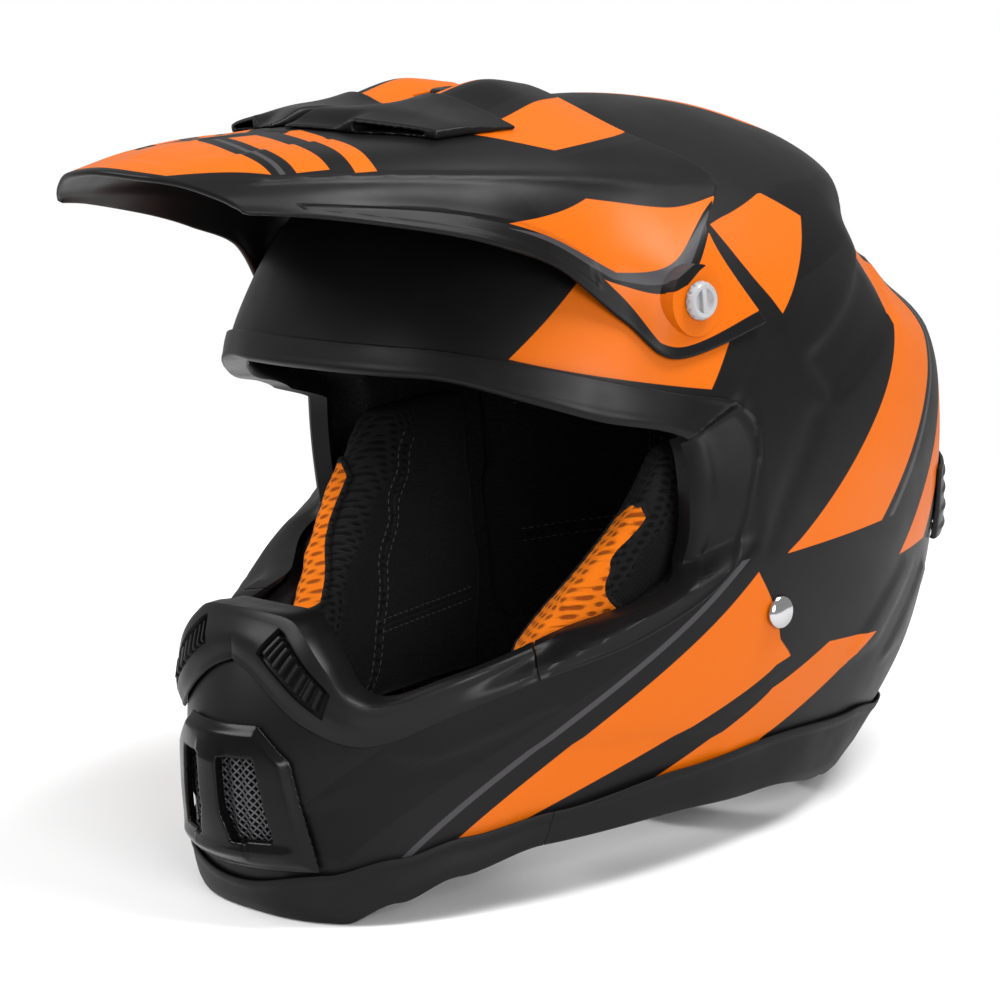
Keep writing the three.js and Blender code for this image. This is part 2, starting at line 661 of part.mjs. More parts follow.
function eyeportTrim() {
  const edge = noseGuardRow - jointShare;
  const half = [...Array(noseGuardRow).keys(), edge];
  const places = [...half.slice().reverse().map((p) => [p, 1]), ...half.slice(1).map((p) => [p, -1])];
  return sweep(places.map(([p, side]) => gasketSection(p, side, 0))).subtract(room);
}

function noseGuard() {
  const end = openingShares.length - 1;
  const half = [noseGuardRow + jointShare, 11.6, 12.3, 13, 14, 15, 16, 17, end];
  const places = [...half.map((p) => [p, 1]), ...half.slice(0, -1).reverse().map((p) => [p, -1])];
  const rise = (p) => noseRise * smooth(noseGuardRow + 1, end - 2, p);
  let guard = sweep(places.map(([p, side]) => gasketSection(p, side, rise(p)))).subtract(room);
  for (const side of [-1, 1])
    guard = guard.subtract(patch(inletPoint(side, 0), 4, 3, 2 * overrun, gasketFlange + 2 * gap));
  return guard;
}

// The two inlets beside the middle of the nose guard
const inletPoint = (side, inset) => (u, v, out) => {
  const place = mix(14.6 + inset, 16.9 - inset, u);
  const [openAngle, openShare] = rowAt(openingShares, place);
  const [edgeAngle, edgeShare] = rowAt(gasketShares, place);
  const fraction = mix(0.3 + inset * 0.3, 0.72 - inset * 0.3, v);
  return skinAt(side * mix(openAngle, edgeAngle, fraction), mix(openShare, edgeShare, fraction), out);
};

// Rubber trim along the rim between two angles
function rimTrim(from, to) {
  const section = (angle) => {
    const foot = footShare(angle);
    const web = foot + webTop;
    const top = trimShare(angle);
    const inwards = (share, amount) => {
      const p = skinAt(angle, share, 0);
      const reach = Math.hypot(p.x, p.y);
      return new THREE.Vector3(p.x * (1 - amount / reach), p.y * (1 - amount / reach), share * shellHeight);
    };
    return [
      skinAt(angle, top, flangeLift), skinAt(angle, top, gap + rimFlange), skinAt(angle, web, gap + rimFlange),
      inwards(foot, -rimFlange), inwards(foot, rimBreadth), inwards(web, rimBreadth), inwards(web, -flangeLift),
    ];
  };
  const inside = [...roundAngles.map((a) => a - 360), ...roundAngles].filter((a) => a > from && a < to);
  const angles = [from, ...inside, to];
  return sweep(angles.map(section)).subtract(room);
}

// Chin vent
function chinVentFrame() {
  let frame = patch(ventPoint(0), 8, 4, ventRise, flangeLift);
  const window = (side) => (u, v, out) => {
    const height = mix(ventBottom + ventRim, ventTop - ventRim, v);
    const x = mix(ventRibHalf, ventHalf(height, ventRim), side > 0 ? u : 1 - u);
    return chinFront(side * x, height, out);
  };
  for (const side of [-1, 1]) frame = frame.subtract(patch(window(side), 2, 3, 2 * overrun, -overrun));
  return frame;
}
const chinVentMesh = () => patch(ventPoint(ventRim * 0.6 + gap), 8, 4, -gap, -gap - meshThick);

// Visor
const headClear = 3 * gap;
const gripHalf = screwHeadRadius * 0.16;
const shankHole = screwShankRadius + shankClearance;
const earFace = pivotBossFace + gap + washerThick + gap;
const headFace = earFace + earDiscThick + gap;
const centreBack = pivotBack - centreAhead;
const travel = (tilt) => (valleyHeight - pivotHeight) * Math.sin(tilt * degrees);

const visorSheet = (out) => patch((u, v, away) => visorAt(u, mix(-1, 1, v), away), 12, 16, out, -visorWall);
function visor() {
  const tiltShell = dome((a, s) => skin(a, s, earClear), (a, s) => skin(a, s, -earDepth));
  let body = visorSheet(0);
  for (const side of [-1, 1]) {
    const collar = sideHole(side, pivotBossRadius + earCollar, earFace - earDepth, earFace + earDiscThick);
    body = body.add(collar.subtract(tiltShell));
    body = body.subtract(sideHole(side, pivotBossRadius + earRunning, earFace - 2 * overrun, earFace));
    body = body.subtract(sideHole(side, pivotBossRadius - gap, earFace + earDiscThick, earFace + overrun));
    body = body.subtract(sideHole(side, shankHole, earFace - overrun, earFace + overrun));
  }
  const along = (reach) => [centreBack - travel(tiltUp) - reach, centreBack + travel(tiltDown) + reach];
  const seatTop = valleyHeight + seatRise;
  const seatFoot = valleyHeight - visorWall;
  body = body.add(boxBetween(-seatSide, seatSide, ...along(shankHole + seatEdge), seatFoot, seatTop));
  body = body.subtract(boxBetween(-seatSide, seatSide, ...along(screwHeadRadius + gap), seatTop, seatTop + overrun));
  return body.subtract(boxBetween(-shankHole, shankHole, ...along(shankHole), seatTop - overrun, seatTop + overrun));
}

// A raised hood on the visor, with an inlet at its outer front corner
function visorHood(side) {
  const point = (u, v, out) => {
    const front = mix(0.44, 0.55, v);
    return visorAt(mix(front, 0.74, u), side * mix(0.03, 0.38, v), out);
  };
  const rise = (u, v) => {
    const edge = 1 - 0.55 * smooth(0.3, 1, v);
    const front = mix(smooth(0, 0.3, u), 1, smooth(0.35, 0.5, v));
    return gap + hoodWall + hoodRise * edge * front * (1 - smooth(0.3, 1, u));
  };
  const mouth = (u, v, out) => point(mix(-0.1, 0.4, u), mix(0.5, 0.95, v), out);
  return patch(point, 8, 8, rise, -visorWall / 2)
    .subtract(visorSheet(gap))
    .subtract(patch(mouth, 3, 4, (u, v) => rise(mix(0, 0.4, u), mix(0.5, 0.95, v)) - hoodWall, gap + hoodWall / 2));
}

function sideScrew(side) {
  const headShares = [[0, 0], [1, 0], [1, 0.5], [0.86, 1], [0.62, 1], [0.5, 0.45], [0, 0.45]];
  const head = headShares.map(([r, h]) => [r * screwHeadRadius, h * screwHeadThick]);
  const body = turnedX(head, side, side * headFace, pivotBack, pivotHeight);
  const [from, to] = [side * headFace, side * (headFace + screwHeadThick)].sort((a, b) => a - b);
  const reach = screwHeadRadius * 0.6;
  const grip = boxBetween(
    from, to, pivotBack - gripHalf, pivotBack + gripHalf, pivotHeight - reach, pivotHeight + reach,
  );
  const shankEnd = pivotBossFace - insertLength + shankShort;
  const shank = sideHole(side, screwShankRadius, shankEnd, headFace + screwHeadThick * 0.3);
  return body.add(grip).add(shank);
}
const tubeX = (side, from, to, outer, inner, y, z) =>
  barX(side * from, side * to, y, z, outer).subtract(barX(side * (from - overrun), side * (to + overrun), y, z, inner));

const washer = (side) =>
  tubeX(side, pivotBossFace + gap, pivotBossFace + gap + washerThick, washerRadius, shankHole, pivotBack, pivotHeight);
const insert = (side) =>
  tubeX(side, pivotBossFace - insertLength, pivotBossFace, insertRadius, shankHole, pivotBack, pivotHeight);

// Middle fixing of the visor: a post on the crown, and a screw through the visor's slot
const postTop = valleyHeight - visorWall - tiltRoom;
const postFoot = postTop - postLength;
function centreMount() {
  const crown = patch((u, v, out) => skinAt(mix(-60, 60, u), mix(0.93, 0.995, v), out), 8, 6, gap, -postLength);
  const post = barZ(0, centreBack, postFoot, postTop, centreMountRadius).subtract(crown);
  const bore = barZ(0, centreBack, postFoot - overrun, postTop + overrun, shankHole);
  return post.subtract(bore);
}
function centreScrew() {
  const under = valleyHeight + seatRise + headClear;
  const head = barZ(0, centreBack, under, under + screwHeadThick * 0.7, screwHeadRadius);
  const shank = barZ(0, centreBack, postTop - postScrew, under + screwHeadThick * 0.3, screwShankRadius, 12);
  const slotHalf = screwHeadRadius * 0.7;
  const slotFloor = under + screwHeadThick * 0.35;
  const [ahead, behind] = [centreBack - gripHalf, centreBack + gripHalf];
  const slot = boxBetween(-slotHalf, slotHalf, ahead, behind, slotFloor, under + screwHeadThick);
  return head.add(shank).subtract(slot);
}

// Comfort liner
const around = (from, to, low, high) => (u, v, inwards) => {
  const place = cavityPlace(mix(low, high, v), inwards);
  return cavity(mix(from, to, u), Math.min(last - 0.02, place), inwards);
};
const crowned = (thick, edge) => (u, v) => {
  const round = (f) => Math.sqrt(Math.sin(Math.PI * clamp01(f)));
  return padInside + thick * mix(edge, 1, round(u) * round(v));
};

function crownPad() {
  const low = placeOf(0.83);
  const grid = (inwards) =>
    Array.from({ length: 20 }, (_, i) => steps(5).map((f) => cavity(18 * i, mix(low, last, f), inwards)));
  return slab(grid(1.5 * padInside), grid(1.5 * padInside + crownPadThick), true);
}
// Height where the neck roll starts, over the rim
const rollFoot = (angle) => footShare(angle) * shellHeight + rimWeb + rollLift;
function rearPad() {
  const point = (u, v, inwards) => {
    const angle = mix(104, 256, u);
    return around(angle, angle, rollFoot(angle) + neckRollHeight + rollSpace, rearPadTop)(0, v, inwards);
  };
  return patch(point, 8, 5, 0, crowned(crownPadThick, 0.4)).subtract(linerRoom);
}
function neckRoll() {
  const point = (u, v, inwards) => {
    const angle = mix(114, 246, u);
    return around(angle, angle, rollFoot(angle), rollFoot(angle) + neckRollHeight)(0, v, inwards);
  };
  return patch(point, 8, 3, 0, crowned(neckRollThick, 0.35)).subtract(linerRoom);
}
function chinPad() {
  const point = (u, v, out) => skinAt(mix(-24, 24, u), mix(0.07, 0.22, v), out);
  const near = -linerFit - chinLinerThick - 5 * gap;
  const vent = patch(ventPoint(ventRim * 1.3), 3, 1, overrun, -5 * overrun);
  return patch(point, 8, 3, near, near - chinPadThick).subtract(vent);
}

// Front edge of a cheek pad: share of shellHeight, degrees
const cheekFrontShares = [[0.133, 50], [0.246, 50], [0.337, 52], [0.414, 61], [0.477, 69], [0.554, 77]];
const cheekBack = 98; // degrees
const cheekPoint = (side) => (u, v, inwards) => {
  const share = mix(cheekFrontShares[0][0], cheekFrontShares[5][0], v);
  const height = share * shellHeight;
  const angle = mix(tableAt(cheekFrontShares, share, 1), cheekBack, u);
  const p = cavity(angle, cavityPlace(height, inwards), inwards);
  return p.setX(side * p.x);
};
const cheekThick = crowned(cheekPadThick, 0.72);
const cheekRows = 5;
const panelFoot = 2 / cheekRows;
const panelHead = 4 / cheekRows;
// Places of the pads' snaps. Shares: along of chinReach, height of shellHeight
const padSnapShares = [[-0.044, 0.428], [-0.242, 0.295], [-0.253, 0.19]];
const padSnaps = padSnapShares.map(([along, rise]) => [along * chinReach, rise * shellHeight]);
function insideX(y, height) {
  const place = cavityPlace(height);
  return cavity(solve((angle) => cavity(angle, place).y < y, 20, 90), place).x;
}
const padSnap = (side, [y, z], grow) => {
  const x = insideX(y, z);
  return barX(side * (x - padSnapThick - grow), side * (x + padSnapThick * 0.5 + grow), y, z, padSnapRadius + grow, 10);
};
function cheekPad(side) {
  let pad = patch(cheekPoint(side), 5, cheekRows, 0, cheekThick).subtract(linerRoom);
  for (const place of padSnaps) pad = pad.subtract(padSnap(side, place, gap));
  return pad;
}

// The coloured panel lies on the pad's front face, broader at its foot
function cheekPanel(side) {
  const point = cheekPoint(side);
  const on = (u, v, ahead) => {
    const rise = mix(panelFoot, panelHead, v);
    const across = mix(mix(0.12, 0.3, v), mix(0.97, 0.72, v), u);
    const face = point(0, rise, 0).lerp(point(0, rise, cheekThick(0, rise)), across);
    return face.setY(face.y - ahead);
  };
  return patch(on, 2, 4, gap + panelThick, gap);
}

// Chin strap
const skinX = (height) => rowAt(shellShares, placeOf(height / shellHeight))[1] * shellHalf;
const rivetSkin = skinX(rivetHeight);
const plateFace = skinX(rivetHeight - plateHalf) - shellWall - 2 * gap;
const strapFace = plateFace - plateThick - gap;
const strapTop = rivetHeight + plateHalf;
const lowRun = strapFloor + strapThick / 2;
const tailRun = lowRun + strapThick + strapRoom;
const innerRing = tailRun + strapThick / 2 + strapRoom + ringWire;
const outerRing = innerRing + 2 * ringWire + ringRoom;
const wrapRadius = ringWire + strapThick / 2 + wrapRoom;

function ribbon(path, perRow) {
  const count = (path.length - 1) * perRow;
  const centre = steps(count).map((f) => rowAt(path, f * (path.length - 1)));
  const edge = (offset) =>
    centre.map(([x, z], i) => {
      const [ax, az] = centre[Math.max(0, i - 1)];
      const [bx, bz] = centre[Math.min(count, i + 1)];
      const length = Math.hypot(bx - ax, bz - az);
      return new THREE.Vector2(x - (offset * (bz - az)) / length, z + (offset * (bx - ax)) / length);
    });
  const [above, below] = [edge(strapThick / 2), edge(-strapThick / 2)];
  const corner = (p, y) => new THREE.Vector3(p.x, y, p.y);
  const [ahead, behind] = [rivetBack - strapHalf, rivetBack + strapHalf];
  return sweep(
    above.map((p, i) => [corner(p, ahead), corner(p, behind), corner(below[i], behind), corner(below[i], ahead)]),
  );
}
const sidePath = (side) => {
  const top = strapFace - strapThick / 2;
  const straight = [strapTop, rivetHeight, rivetHeight - plateHalf].map((height) => [side * top, height]);
  return [...straight, ...strapSideShares.map(([x, z]) => [side * x * shellHalf, z * rivetHeight])];
};
const strapHole = (side) => {
  const [from, to] = [side * (strapFace - 3 * strapThick), side * (strapFace + overrun)];
  return barX(from, to, rivetBack, rivetHeight, rivetShank + shankClearance, 14);
};
const snapBore = () => barZ(snapPlace, rivetBack, 0, tailRun + overrun, rivetShank + gap, 12);
function strapLeft() {
  const wrap = wrapRadius;
  const path = [
    ...sidePath(1), [shellHalf * 0.27, lowRun], [shellHalf * 0.0635, lowRun],
    [outerBow + 2 * ringCorner, lowRun], [outerBow, lowRun + 2 * ringRoom],
    [outerBow - wrap, mix(lowRun, outerRing, 0.45)], [outerBow - wrap, outerRing],
    [outerBow, outerRing + wrap], [outerBow + wrap, outerRing],
    [outerBow + wrap + 2 * ringRoom, innerRing - strapRoom],
    [innerBow - bowEase / 2, tailRun], [innerBow + bowEase, tailRun], [tailEnd, tailRun],
  ];
  return ribbon(path, 3).subtract(strapHole(1)).subtract(snapBore());
}
function strapRight() {
  const wrap = wrapRadius;
  const path = [
    ...sidePath(-1).slice(0, -1), [ringBar - bowEase, innerRing - wrap], [ringBar, innerRing - wrap],
    [ringBar + wrap, innerRing], [ringBar + wrap, outerRing], [ringBar, outerRing + wrap],
    [ringBar - bowEase, outerRing + wrap - ringRoom],
    [ringBar - 3 * bowEase, outerRing + wrap + 3 * strapRoom],
  ];
  return ribbon(path, 3).subtract(strapHole(-1));
}
function dRing(bow, height) {
  const [side, round] = [ringHalf, ringCorner];
  const corner = [
    [ringBar, 0], [ringBar, side - round], [ringBar + round, side], [bow - round, side], [bow, side - round],
  ];
  const loop = [...corner, [bow, 0], ...corner.slice(1).reverse().map(([x, y]) => [x, -y])];
  const curve = new THREE.CatmullRomCurve3(
    loop.map(([x, y]) => new THREE.Vector3(x, y + rivetBack, height)), true, "centripetal",
  );
  const turns = steps(6).slice(0, -1).map((f) => 2 * Math.PI * f);
  const section = (f) => {
    const middle = curve.getPointAt(f);
    const ahead = curve.getTangentAt(f);
    const aside = new THREE.Vector3(ahead.y, -ahead.x, 0).normalize();
    return turns.map((t) => {
      const [wide, tall] = [ringWire * Math.cos(t), ringWire * Math.sin(t)];
      return middle.clone().addScaledVector(aside, wide).setZ(height + tall);
    });
  };
  return sweep(steps(28).slice(0, -1).map(section), true);
}
const snapSeat = tailRun + strapThick / 2 + gap;
const snapCap = () =>
  barZ(snapPlace, rivetBack, snapSeat, snapSeat + snapThick, snapRadius)
    .add(barZ(snapPlace, rivetBack, strapFloor, tailRun + strapThick, rivetShank, 12));
const snapBase = () => barZ(snapPlace, rivetBack, strapFloor - gap - snapThick, strapFloor - gap, snapRadius);

function rivet(side) {
  const head = steps(5).map((f) => [rivetRadius * Math.cos((f * Math.PI) / 2), rivetRise * Math.sin((f * Math.PI) / 2)]);
  const profile = [[0, 0], ...head.slice(0, -1), [0, rivetRise]];
  const dome = turnedX(profile, side, side * (rivetSkin + 2 * gap), rivetBack, rivetHeight);
  const tailFace = strapFace - strapThick - gap;
  const [from, to] = [tailFace - plateThick / 2, rivetSkin + rivetRise * 0.3];
  const shank = barX(side * from, side * to, rivetBack, rivetHeight, rivetShank, 14);
  const tail = barX(side * (tailFace - plateThick), side * tailFace, rivetBack, rivetHeight, rivetShank * 2, 14);
  return dome.add(shank).add(tail);
}
function anchorPlate(side) {
  const [a, b] = [side * (plateFace - plateThick), side * plateFace].sort((p, q) => p - q);
  const [low, high] = [rivetHeight - plateHalf * 0.6, rivetHeight + plateHalf];
  const plate = boxBetween(a, b, rivetBack - plateHalf, rivetBack + plateHalf, low, high);
  return plate.subtract(rivetHole(side));
}

// Rear exhaust hoods
function exhaustHood(side) {
  const rise = (u, v) => exhaustRise * Math.sin(Math.PI * u) ** 0.5 * (1 - smooth(0, 1, v));
  return patch(exhaustPoint(side, 0), 7, 5, (u, v) => gap + exhaustWall + rise(u, v), (u, v) => gap + rise(u, v));
}
const inletFloor = gasketFlange + 4 * gap;
const inlet = (side) => patch(inletPoint(side, 0.18), 3, 2, inletFloor + inletWall, inletFloor);

// The largest body of a solid, without the slivers that a cut leaves
const largest = (solid) => solid.decompose().sort((a, b) => b.volume() - a.volume())[0];

const group = new THREE.Group();
function add(name, solid, colour, roughness, metalness = 0) {
  const whole = largest(solid.simplify(finest));
  const material = new THREE.MeshStandardMaterial({ color: colour, roughness, metalness });
  const mesh = new THREE.Mesh(geometryFrom(whole), material);
  mesh.name = name;
  group.add(mesh);
}
const both = (name, make, ...look) => {
  for (const [word, side] of [["left", 1], ["right", -1]]) add(name + "_" + word, make(side), ...look);
};

const matteBlack = 0x1d1c1e;
const room = shellRoom();
const shell = outerShell();
const trims = [
  rimTrim(-rimJointAngle + rimJointOpen, rimJointAngle - rimJointOpen),
  rimTrim(rimJointAngle + rimJointOpen, 360 - rimJointAngle - rimJointOpen),
];
const linerRoom = linerDome(gap); // what the liner takes up together with the air inside it
add("outer_shell", shell, matteBlack, 0.5);
add("impact_liner", impactLiner(), 0x232325, 0.9);
add("chin_liner", chinLiner(), 0x232325, 0.9);
add("eyeport_trim", eyeportTrim(), 0x2a292b, 0.5);
add("nose_guard", noseGuard(), 0x29282a, 0.5);
add("base_trim_front", trims[0], 0x121213, 0.7);
add("base_trim_rear", trims[1], 0x121213, 0.7);
add("chin_vent_frame", chinVentFrame(), 0x0e0e0f, 0.35);
add("chin_vent_mesh", chinVentMesh(), 0x3a3a3c, 0.5, 0.6);
add("visor", visor(), matteBlack, 0.5);
both("visor_hood", visorHood, matteBlack, 0.5);
both("side_screw", sideScrew, 0xc9cacb, 0.3);
both("side_washer", washer, 0x151516, 0.7);
both("side_insert", insert, 0xb08a4a, 0.4, 1);
add("centre_mount", centreMount(), 0x151516, 0.6);
add("centre_screw", centreScrew(), 0x151516, 0.5);
add("crown_pad", crownPad(), 0x161617, 0.95);
add("rear_pad", rearPad(), 0x161617, 0.95);
add("neck_roll", neckRoll(), 0x161617, 0.95);
add("chin_pad", chinPad(), 0x161617, 0.95);
both("cheek_pad", cheekPad, 0x161617, 0.95);
both("cheek_panel", cheekPanel, 0xf07c12, 0.9);
for (const [word, side] of [["left", 1], ["right", -1]])
  padSnaps.forEach((place, i) => add("pad_snap_" + word + "_" + (i + 1), padSnap(side, place, 0), 0x101011, 0.6));
both("inlet", inlet, 0x0f0f10, 0.6);
both("exhaust_hood", exhaustHood, matteBlack, 0.5);
both("strap_rivet", rivet, 0xcfd0d1, 0.2, 1);
both("anchor_plate", anchorPlate, 0x9a9b9c, 0.4, 1);
add("strap_left", strapLeft(), 0x0f0f10, 0.9);
add("strap_right", strapRight(), 0x0f0f10, 0.9);
add("d_ring_inner", dRing(innerBow, innerRing), 0xb9babb, 0.25, 1);
add("d_ring_outer", dRing(outerBow, outerRing), 0xb9babb, 0.25, 1);
add("strap_snap_cap", snapCap(), 0x101011, 0.5);
add("strap_snap_base", snapBase(), 0x101011, 0.5);
export default group;
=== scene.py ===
# %% [markdown]
# # A motocross helmet
# This lesson dresses a helmet whose measured solids come from a CAD program. The solids are loaded
# as a fixed frame. Every piece made here stands in the frame's own place, in metres, with the face
# looking along -Y, the wearer's left side along +X and +Z up.

# %% Load the frame
import math

import bmesh
import bpy
import numpy as np
from mathutils import Matrix, Vector
from mathutils.bvhtree import BVHTree
from mathutils.kdtree import KDTree


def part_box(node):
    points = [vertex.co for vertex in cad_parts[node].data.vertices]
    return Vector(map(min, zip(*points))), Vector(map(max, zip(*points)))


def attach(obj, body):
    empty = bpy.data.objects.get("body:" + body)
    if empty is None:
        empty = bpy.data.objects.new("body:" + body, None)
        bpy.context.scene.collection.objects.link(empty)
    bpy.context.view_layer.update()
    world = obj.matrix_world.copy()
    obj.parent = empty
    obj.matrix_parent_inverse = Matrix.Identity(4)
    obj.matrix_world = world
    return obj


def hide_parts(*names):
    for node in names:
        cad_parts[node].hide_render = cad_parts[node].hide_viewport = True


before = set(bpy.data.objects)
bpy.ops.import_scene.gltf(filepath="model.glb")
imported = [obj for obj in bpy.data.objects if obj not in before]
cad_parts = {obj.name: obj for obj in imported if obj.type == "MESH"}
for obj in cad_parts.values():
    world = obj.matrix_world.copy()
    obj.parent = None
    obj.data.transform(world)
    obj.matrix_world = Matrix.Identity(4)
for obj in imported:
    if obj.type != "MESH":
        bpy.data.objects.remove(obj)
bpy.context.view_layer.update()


def link(obj):
    bpy.context.scene.collection.objects.link(obj)
    return obj


# %% [markdown]
# ## Camera, light and floor
# The photograph was taken from the front left, a little above the chin, with a long lens. The
# helmet hangs nose down in it, so the camera leans by the same few degrees. A studio picture like
# this needs a pale floor, a white surround and large soft lamps.

# %% Camera
MM = 0.001
back = Vector((0.72962, -0.65096, 0.20952))
right = Vector((0.67599, 0.73287, -0.07703))
up = back.cross(right)
target = Vector((-9.534, -18.125, 126.908)) * MM
distance = 1.30343
lens = bpy.data.cameras.new("camera")
lens.lens, lens.sensor_width = 117.22, 36
lens.clip_start, lens.clip_end = 0.1, 20
camera = link(bpy.data.objects.new("camera", lens))
facing = Matrix((right, up, back)).transposed().to_4x4()
camera.matrix_world = Matrix.Translation(target + back * distance) @ facing
bpy.context.scene.camera = camera
print("camera at", tuple(round(v, 3) for v in camera.location))

# %% Light and floor
world = bpy.data.worlds.new("surround")
world.use_nodes = True
world.node_tree.nodes["Background"].inputs["Color"].default_value = (1, 1, 1, 1)
# White to the camera, and half as bright to the surfaces, so that black ones stay black
ON_SURFACES, TO_CAMERA = 0.5, 1.0
seen = world.node_tree.nodes.new("ShaderNodeLightPath")
level = world.node_tree.nodes.new("ShaderNodeMapRange")
level.inputs["To Min"].default_value = ON_SURFACES
level.inputs["To Max"].default_value = TO_CAMERA
world.node_tree.links.new(seen.outputs["Is Camera Ray"], level.inputs["Value"])
world.node_tree.links.new(level.outputs["Result"], world.node_tree.nodes["Background"].inputs["Strength"])
bpy.context.scene.view_settings.view_transform = "Standard"
bpy.context.scene.world = world
# Each lamp's name, place, width in metres and power in watts
lamps = [
    ("key", (-0.9, -1.5, 1.9), 1.3, 50), ("side", (1.9, -0.8, 0.7), 0.9, 34),
    ("top", (0.8, 0.5, 1.7), 0.8, 38),
]
middle = Vector((0, 0, 0.14))
for name, place, size, power in lamps:
    lamp = bpy.data.lights.new(name, "AREA")
    lamp.shape, lamp.size, lamp.energy = "SQUARE", size, power
    obj = link(bpy.data.objects.new(name, lamp))
    obj.location = place
    obj.rotation_euler = (middle - Vector(place)).to_track_quat("-Z", "Y").to_euler()
floor_mesh = bpy.data.meshes.new("floor")
wide = 0.6
floor_mesh.from_pydata(
    [(-wide, -wide, 0), (wide, -wide, 0), (wide, wide, 0), (-wide, wide, 0)], [], [(0, 1, 2, 3)],
)
floor = link(bpy.data.objects.new("floor", floor_mesh))
# Half a millimetre lower than the rim, so that the two never share a plane
floor.location.z = -0.5 * MM
print("lamps:", len(lamps), "floor:", 2 * wide, "m wide")

# %% [markdown]
# ## Helpers for shapes
# The helmet's skin is a stack of rounded outlines. A table gives each outline as shares of the
# helmet's height, width and reach, and a smooth curve runs through its rows, so that the skin can
# be sampled as finely as a picture needs. Lengths below are in millimetres until a mesh is made.

# %% Curves through tables
def smooth(a, b, v):
    """A soft step from 0 at a to 1 at b."""
    f = np.clip((v - a) / (b - a), 0, 1)
    return f * f * (3 - 2 * f)


def mix(a, b, f):
    return a + (b - a) * f


def unit(vectors):
    """The same directions with a length of one, or none where there is no direction."""
    return vectors / np.maximum(np.linalg.norm(vectors, axis=-1), 1e-9)[..., None]


def through(a, b, c, d, f):
    """A smooth curve from b to c that heeds the values before and after them."""
    return (2 * b + (c - a) * f + (2 * a - 5 * b + 4 * c - d) * f**2 + (3 * b - a - 3 * c + d) * f**3) / 2


def row_at(rows, place):
    """The row of a table at a place between its rows."""
    place = np.asarray(place, float)
    i = np.clip(np.floor(place).astype(int), 0, len(rows) - 2)
    f = (place - i)[..., None]
    return through(*(rows[np.clip(i + k, 0, len(rows) - 1)] for k in (-1, 0, 1, 2)), f)


def table_at(rows, value, column):
    """A column of a table at a value of its first column, with a soft step between rows."""
    rows = np.asarray(rows, float)
    i = np.clip(np.searchsorted(rows[:, 0], value, side="right") - 1, 0, len(rows) - 2)
    return mix(rows[i, column], rows[i + 1, column], smooth(rows[i, 0], rows[i + 1, 0], value))


print("a soft step, a quarter of the way:", smooth(0, 1, 0.25))


# %% The helmet's skin
HEIGHT, HALF, CHIN, REAR = 285.0, 126.0, 182.0, 178.0
WALL, GAP = 3.0, 0.3
CHEEK_DEPTH, VALLEY_DEPTH = 15, 5
# Each row: height, half width, reach forwards, reach back, shift back of the widest place, then how square
# the outline is in front and behind
shell_shares = np.array([
    [0.0, 0.683, 0.907, 0.56, 0.0, 2.7, 2.3],
    [0.049, 0.786, 0.945, 0.66, 0.0, 2.2, 2.3],
    [0.105, 0.838, 0.965, 0.765, 0.0, 1.93, 2.3],
    [0.175, 0.885, 0.975, 0.87, 0.006, 1.78, 2.3],
    [0.253, 0.933, 0.965, 0.925, 0.011, 1.72, 2.3],
    [0.333, 0.968, 0.91, 0.955, 0.022, 1.78, 2.3],
    [0.4, 0.988, 0.835, 0.975, 0.028, 1.95, 2.3],
    [0.491, 1.0, 0.78, 0.99, 0.039, 2.15, 2.3],
    [0.579, 0.996, 0.709, 0.985, 0.045, 2.3, 2.3],
    [0.649, 0.98, 0.657, 0.935, 0.045, 2.3, 2.3],
    [0.702, 0.952, 0.637, 0.855, 0.045, 2.3, 2.3],
    [0.751, 0.913, 0.602, 0.795, 0.045, 2.28, 2.3],
    [0.807, 0.845, 0.555, 0.76, 0.045, 2.25, 2.3],
    [0.86, 0.754, 0.489, 0.725, 0.045, 2.25, 2.3],
    [0.902, 0.647, 0.407, 0.65, 0.051, 2.2, 2.3],
    [0.937, 0.524, 0.313, 0.545, 0.056, 2.2, 2.3],
    [0.967, 0.381, 0.203, 0.425, 0.062, 2.15, 2.25],
    [0.988, 0.23, 0.093, 0.285, 0.067, 2.1, 2.2],
    [0.998, 0.095, 0.0, 0.165, 0.067, 2.05, 2.1],
    [1.0, 0.0, -0.066, 0.067, 0.067, 2.0, 2.0],
])
LAST = len(shell_shares) - 1
places = np.linspace(0, LAST, 6001)
rises = row_at(shell_shares, places)[:, 0]


def place_of(share):
    return np.interp(share, rises, places)


def outline(row, angle, side=0, front=0, rear=0):
    """A row's outline at an angle from the front, drawn in by three distances."""
    t = np.radians(angle)
    half = np.maximum(0, row[..., 1] * HALF - side)
    centre = row[..., 4] * REAR
    ahead = np.maximum(0, row[..., 2] * CHIN + centre - front)
    behind = np.maximum(0, row[..., 3] * REAR - centre - rear)
    forwards = np.cos(t) >= 0
    power = 2 / np.where(forwards, row[..., 5], row[..., 6])
    x = np.sign(np.sin(t)) * np.abs(np.sin(t)) ** power * half
    y = centre + np.abs(np.cos(t)) ** power * np.where(forwards, -ahead, behind)
    return x, y


def sculpt(angle, share):
    """How far the skin is pressed in beside the eyeport, and in a valley behind the pivot."""
    a = np.abs((angle + 180) % 360 - 180)
    across = np.clip((84.5 - a) / 10.5, 0, 1) * smooth(40, 58, a)
    top = 0.579 + (a - 73.5) * 0.0043
    bottom = 0.393 + (a - 71) * 0.0035
    window = smooth(bottom - 0.012, bottom + 0.016, share) * (1 - smooth(top - 0.01, top + 0.016, share))
    behind = smooth(118, 132, a) * (1 - smooth(150, 164, a))
    valley = behind * smooth(0.62, 0.7, share) * (1 - smooth(0.78, 0.86, share))
    return -CHEEK_DEPTH * across * window - VALLEY_DEPTH * valley


def plain(angle, place):
    row = row_at(shell_shares, np.clip(place, 0, LAST))
    x, y = outline(row, angle)
    return np.stack([x, y, row[..., 0] * HEIGHT], -1)


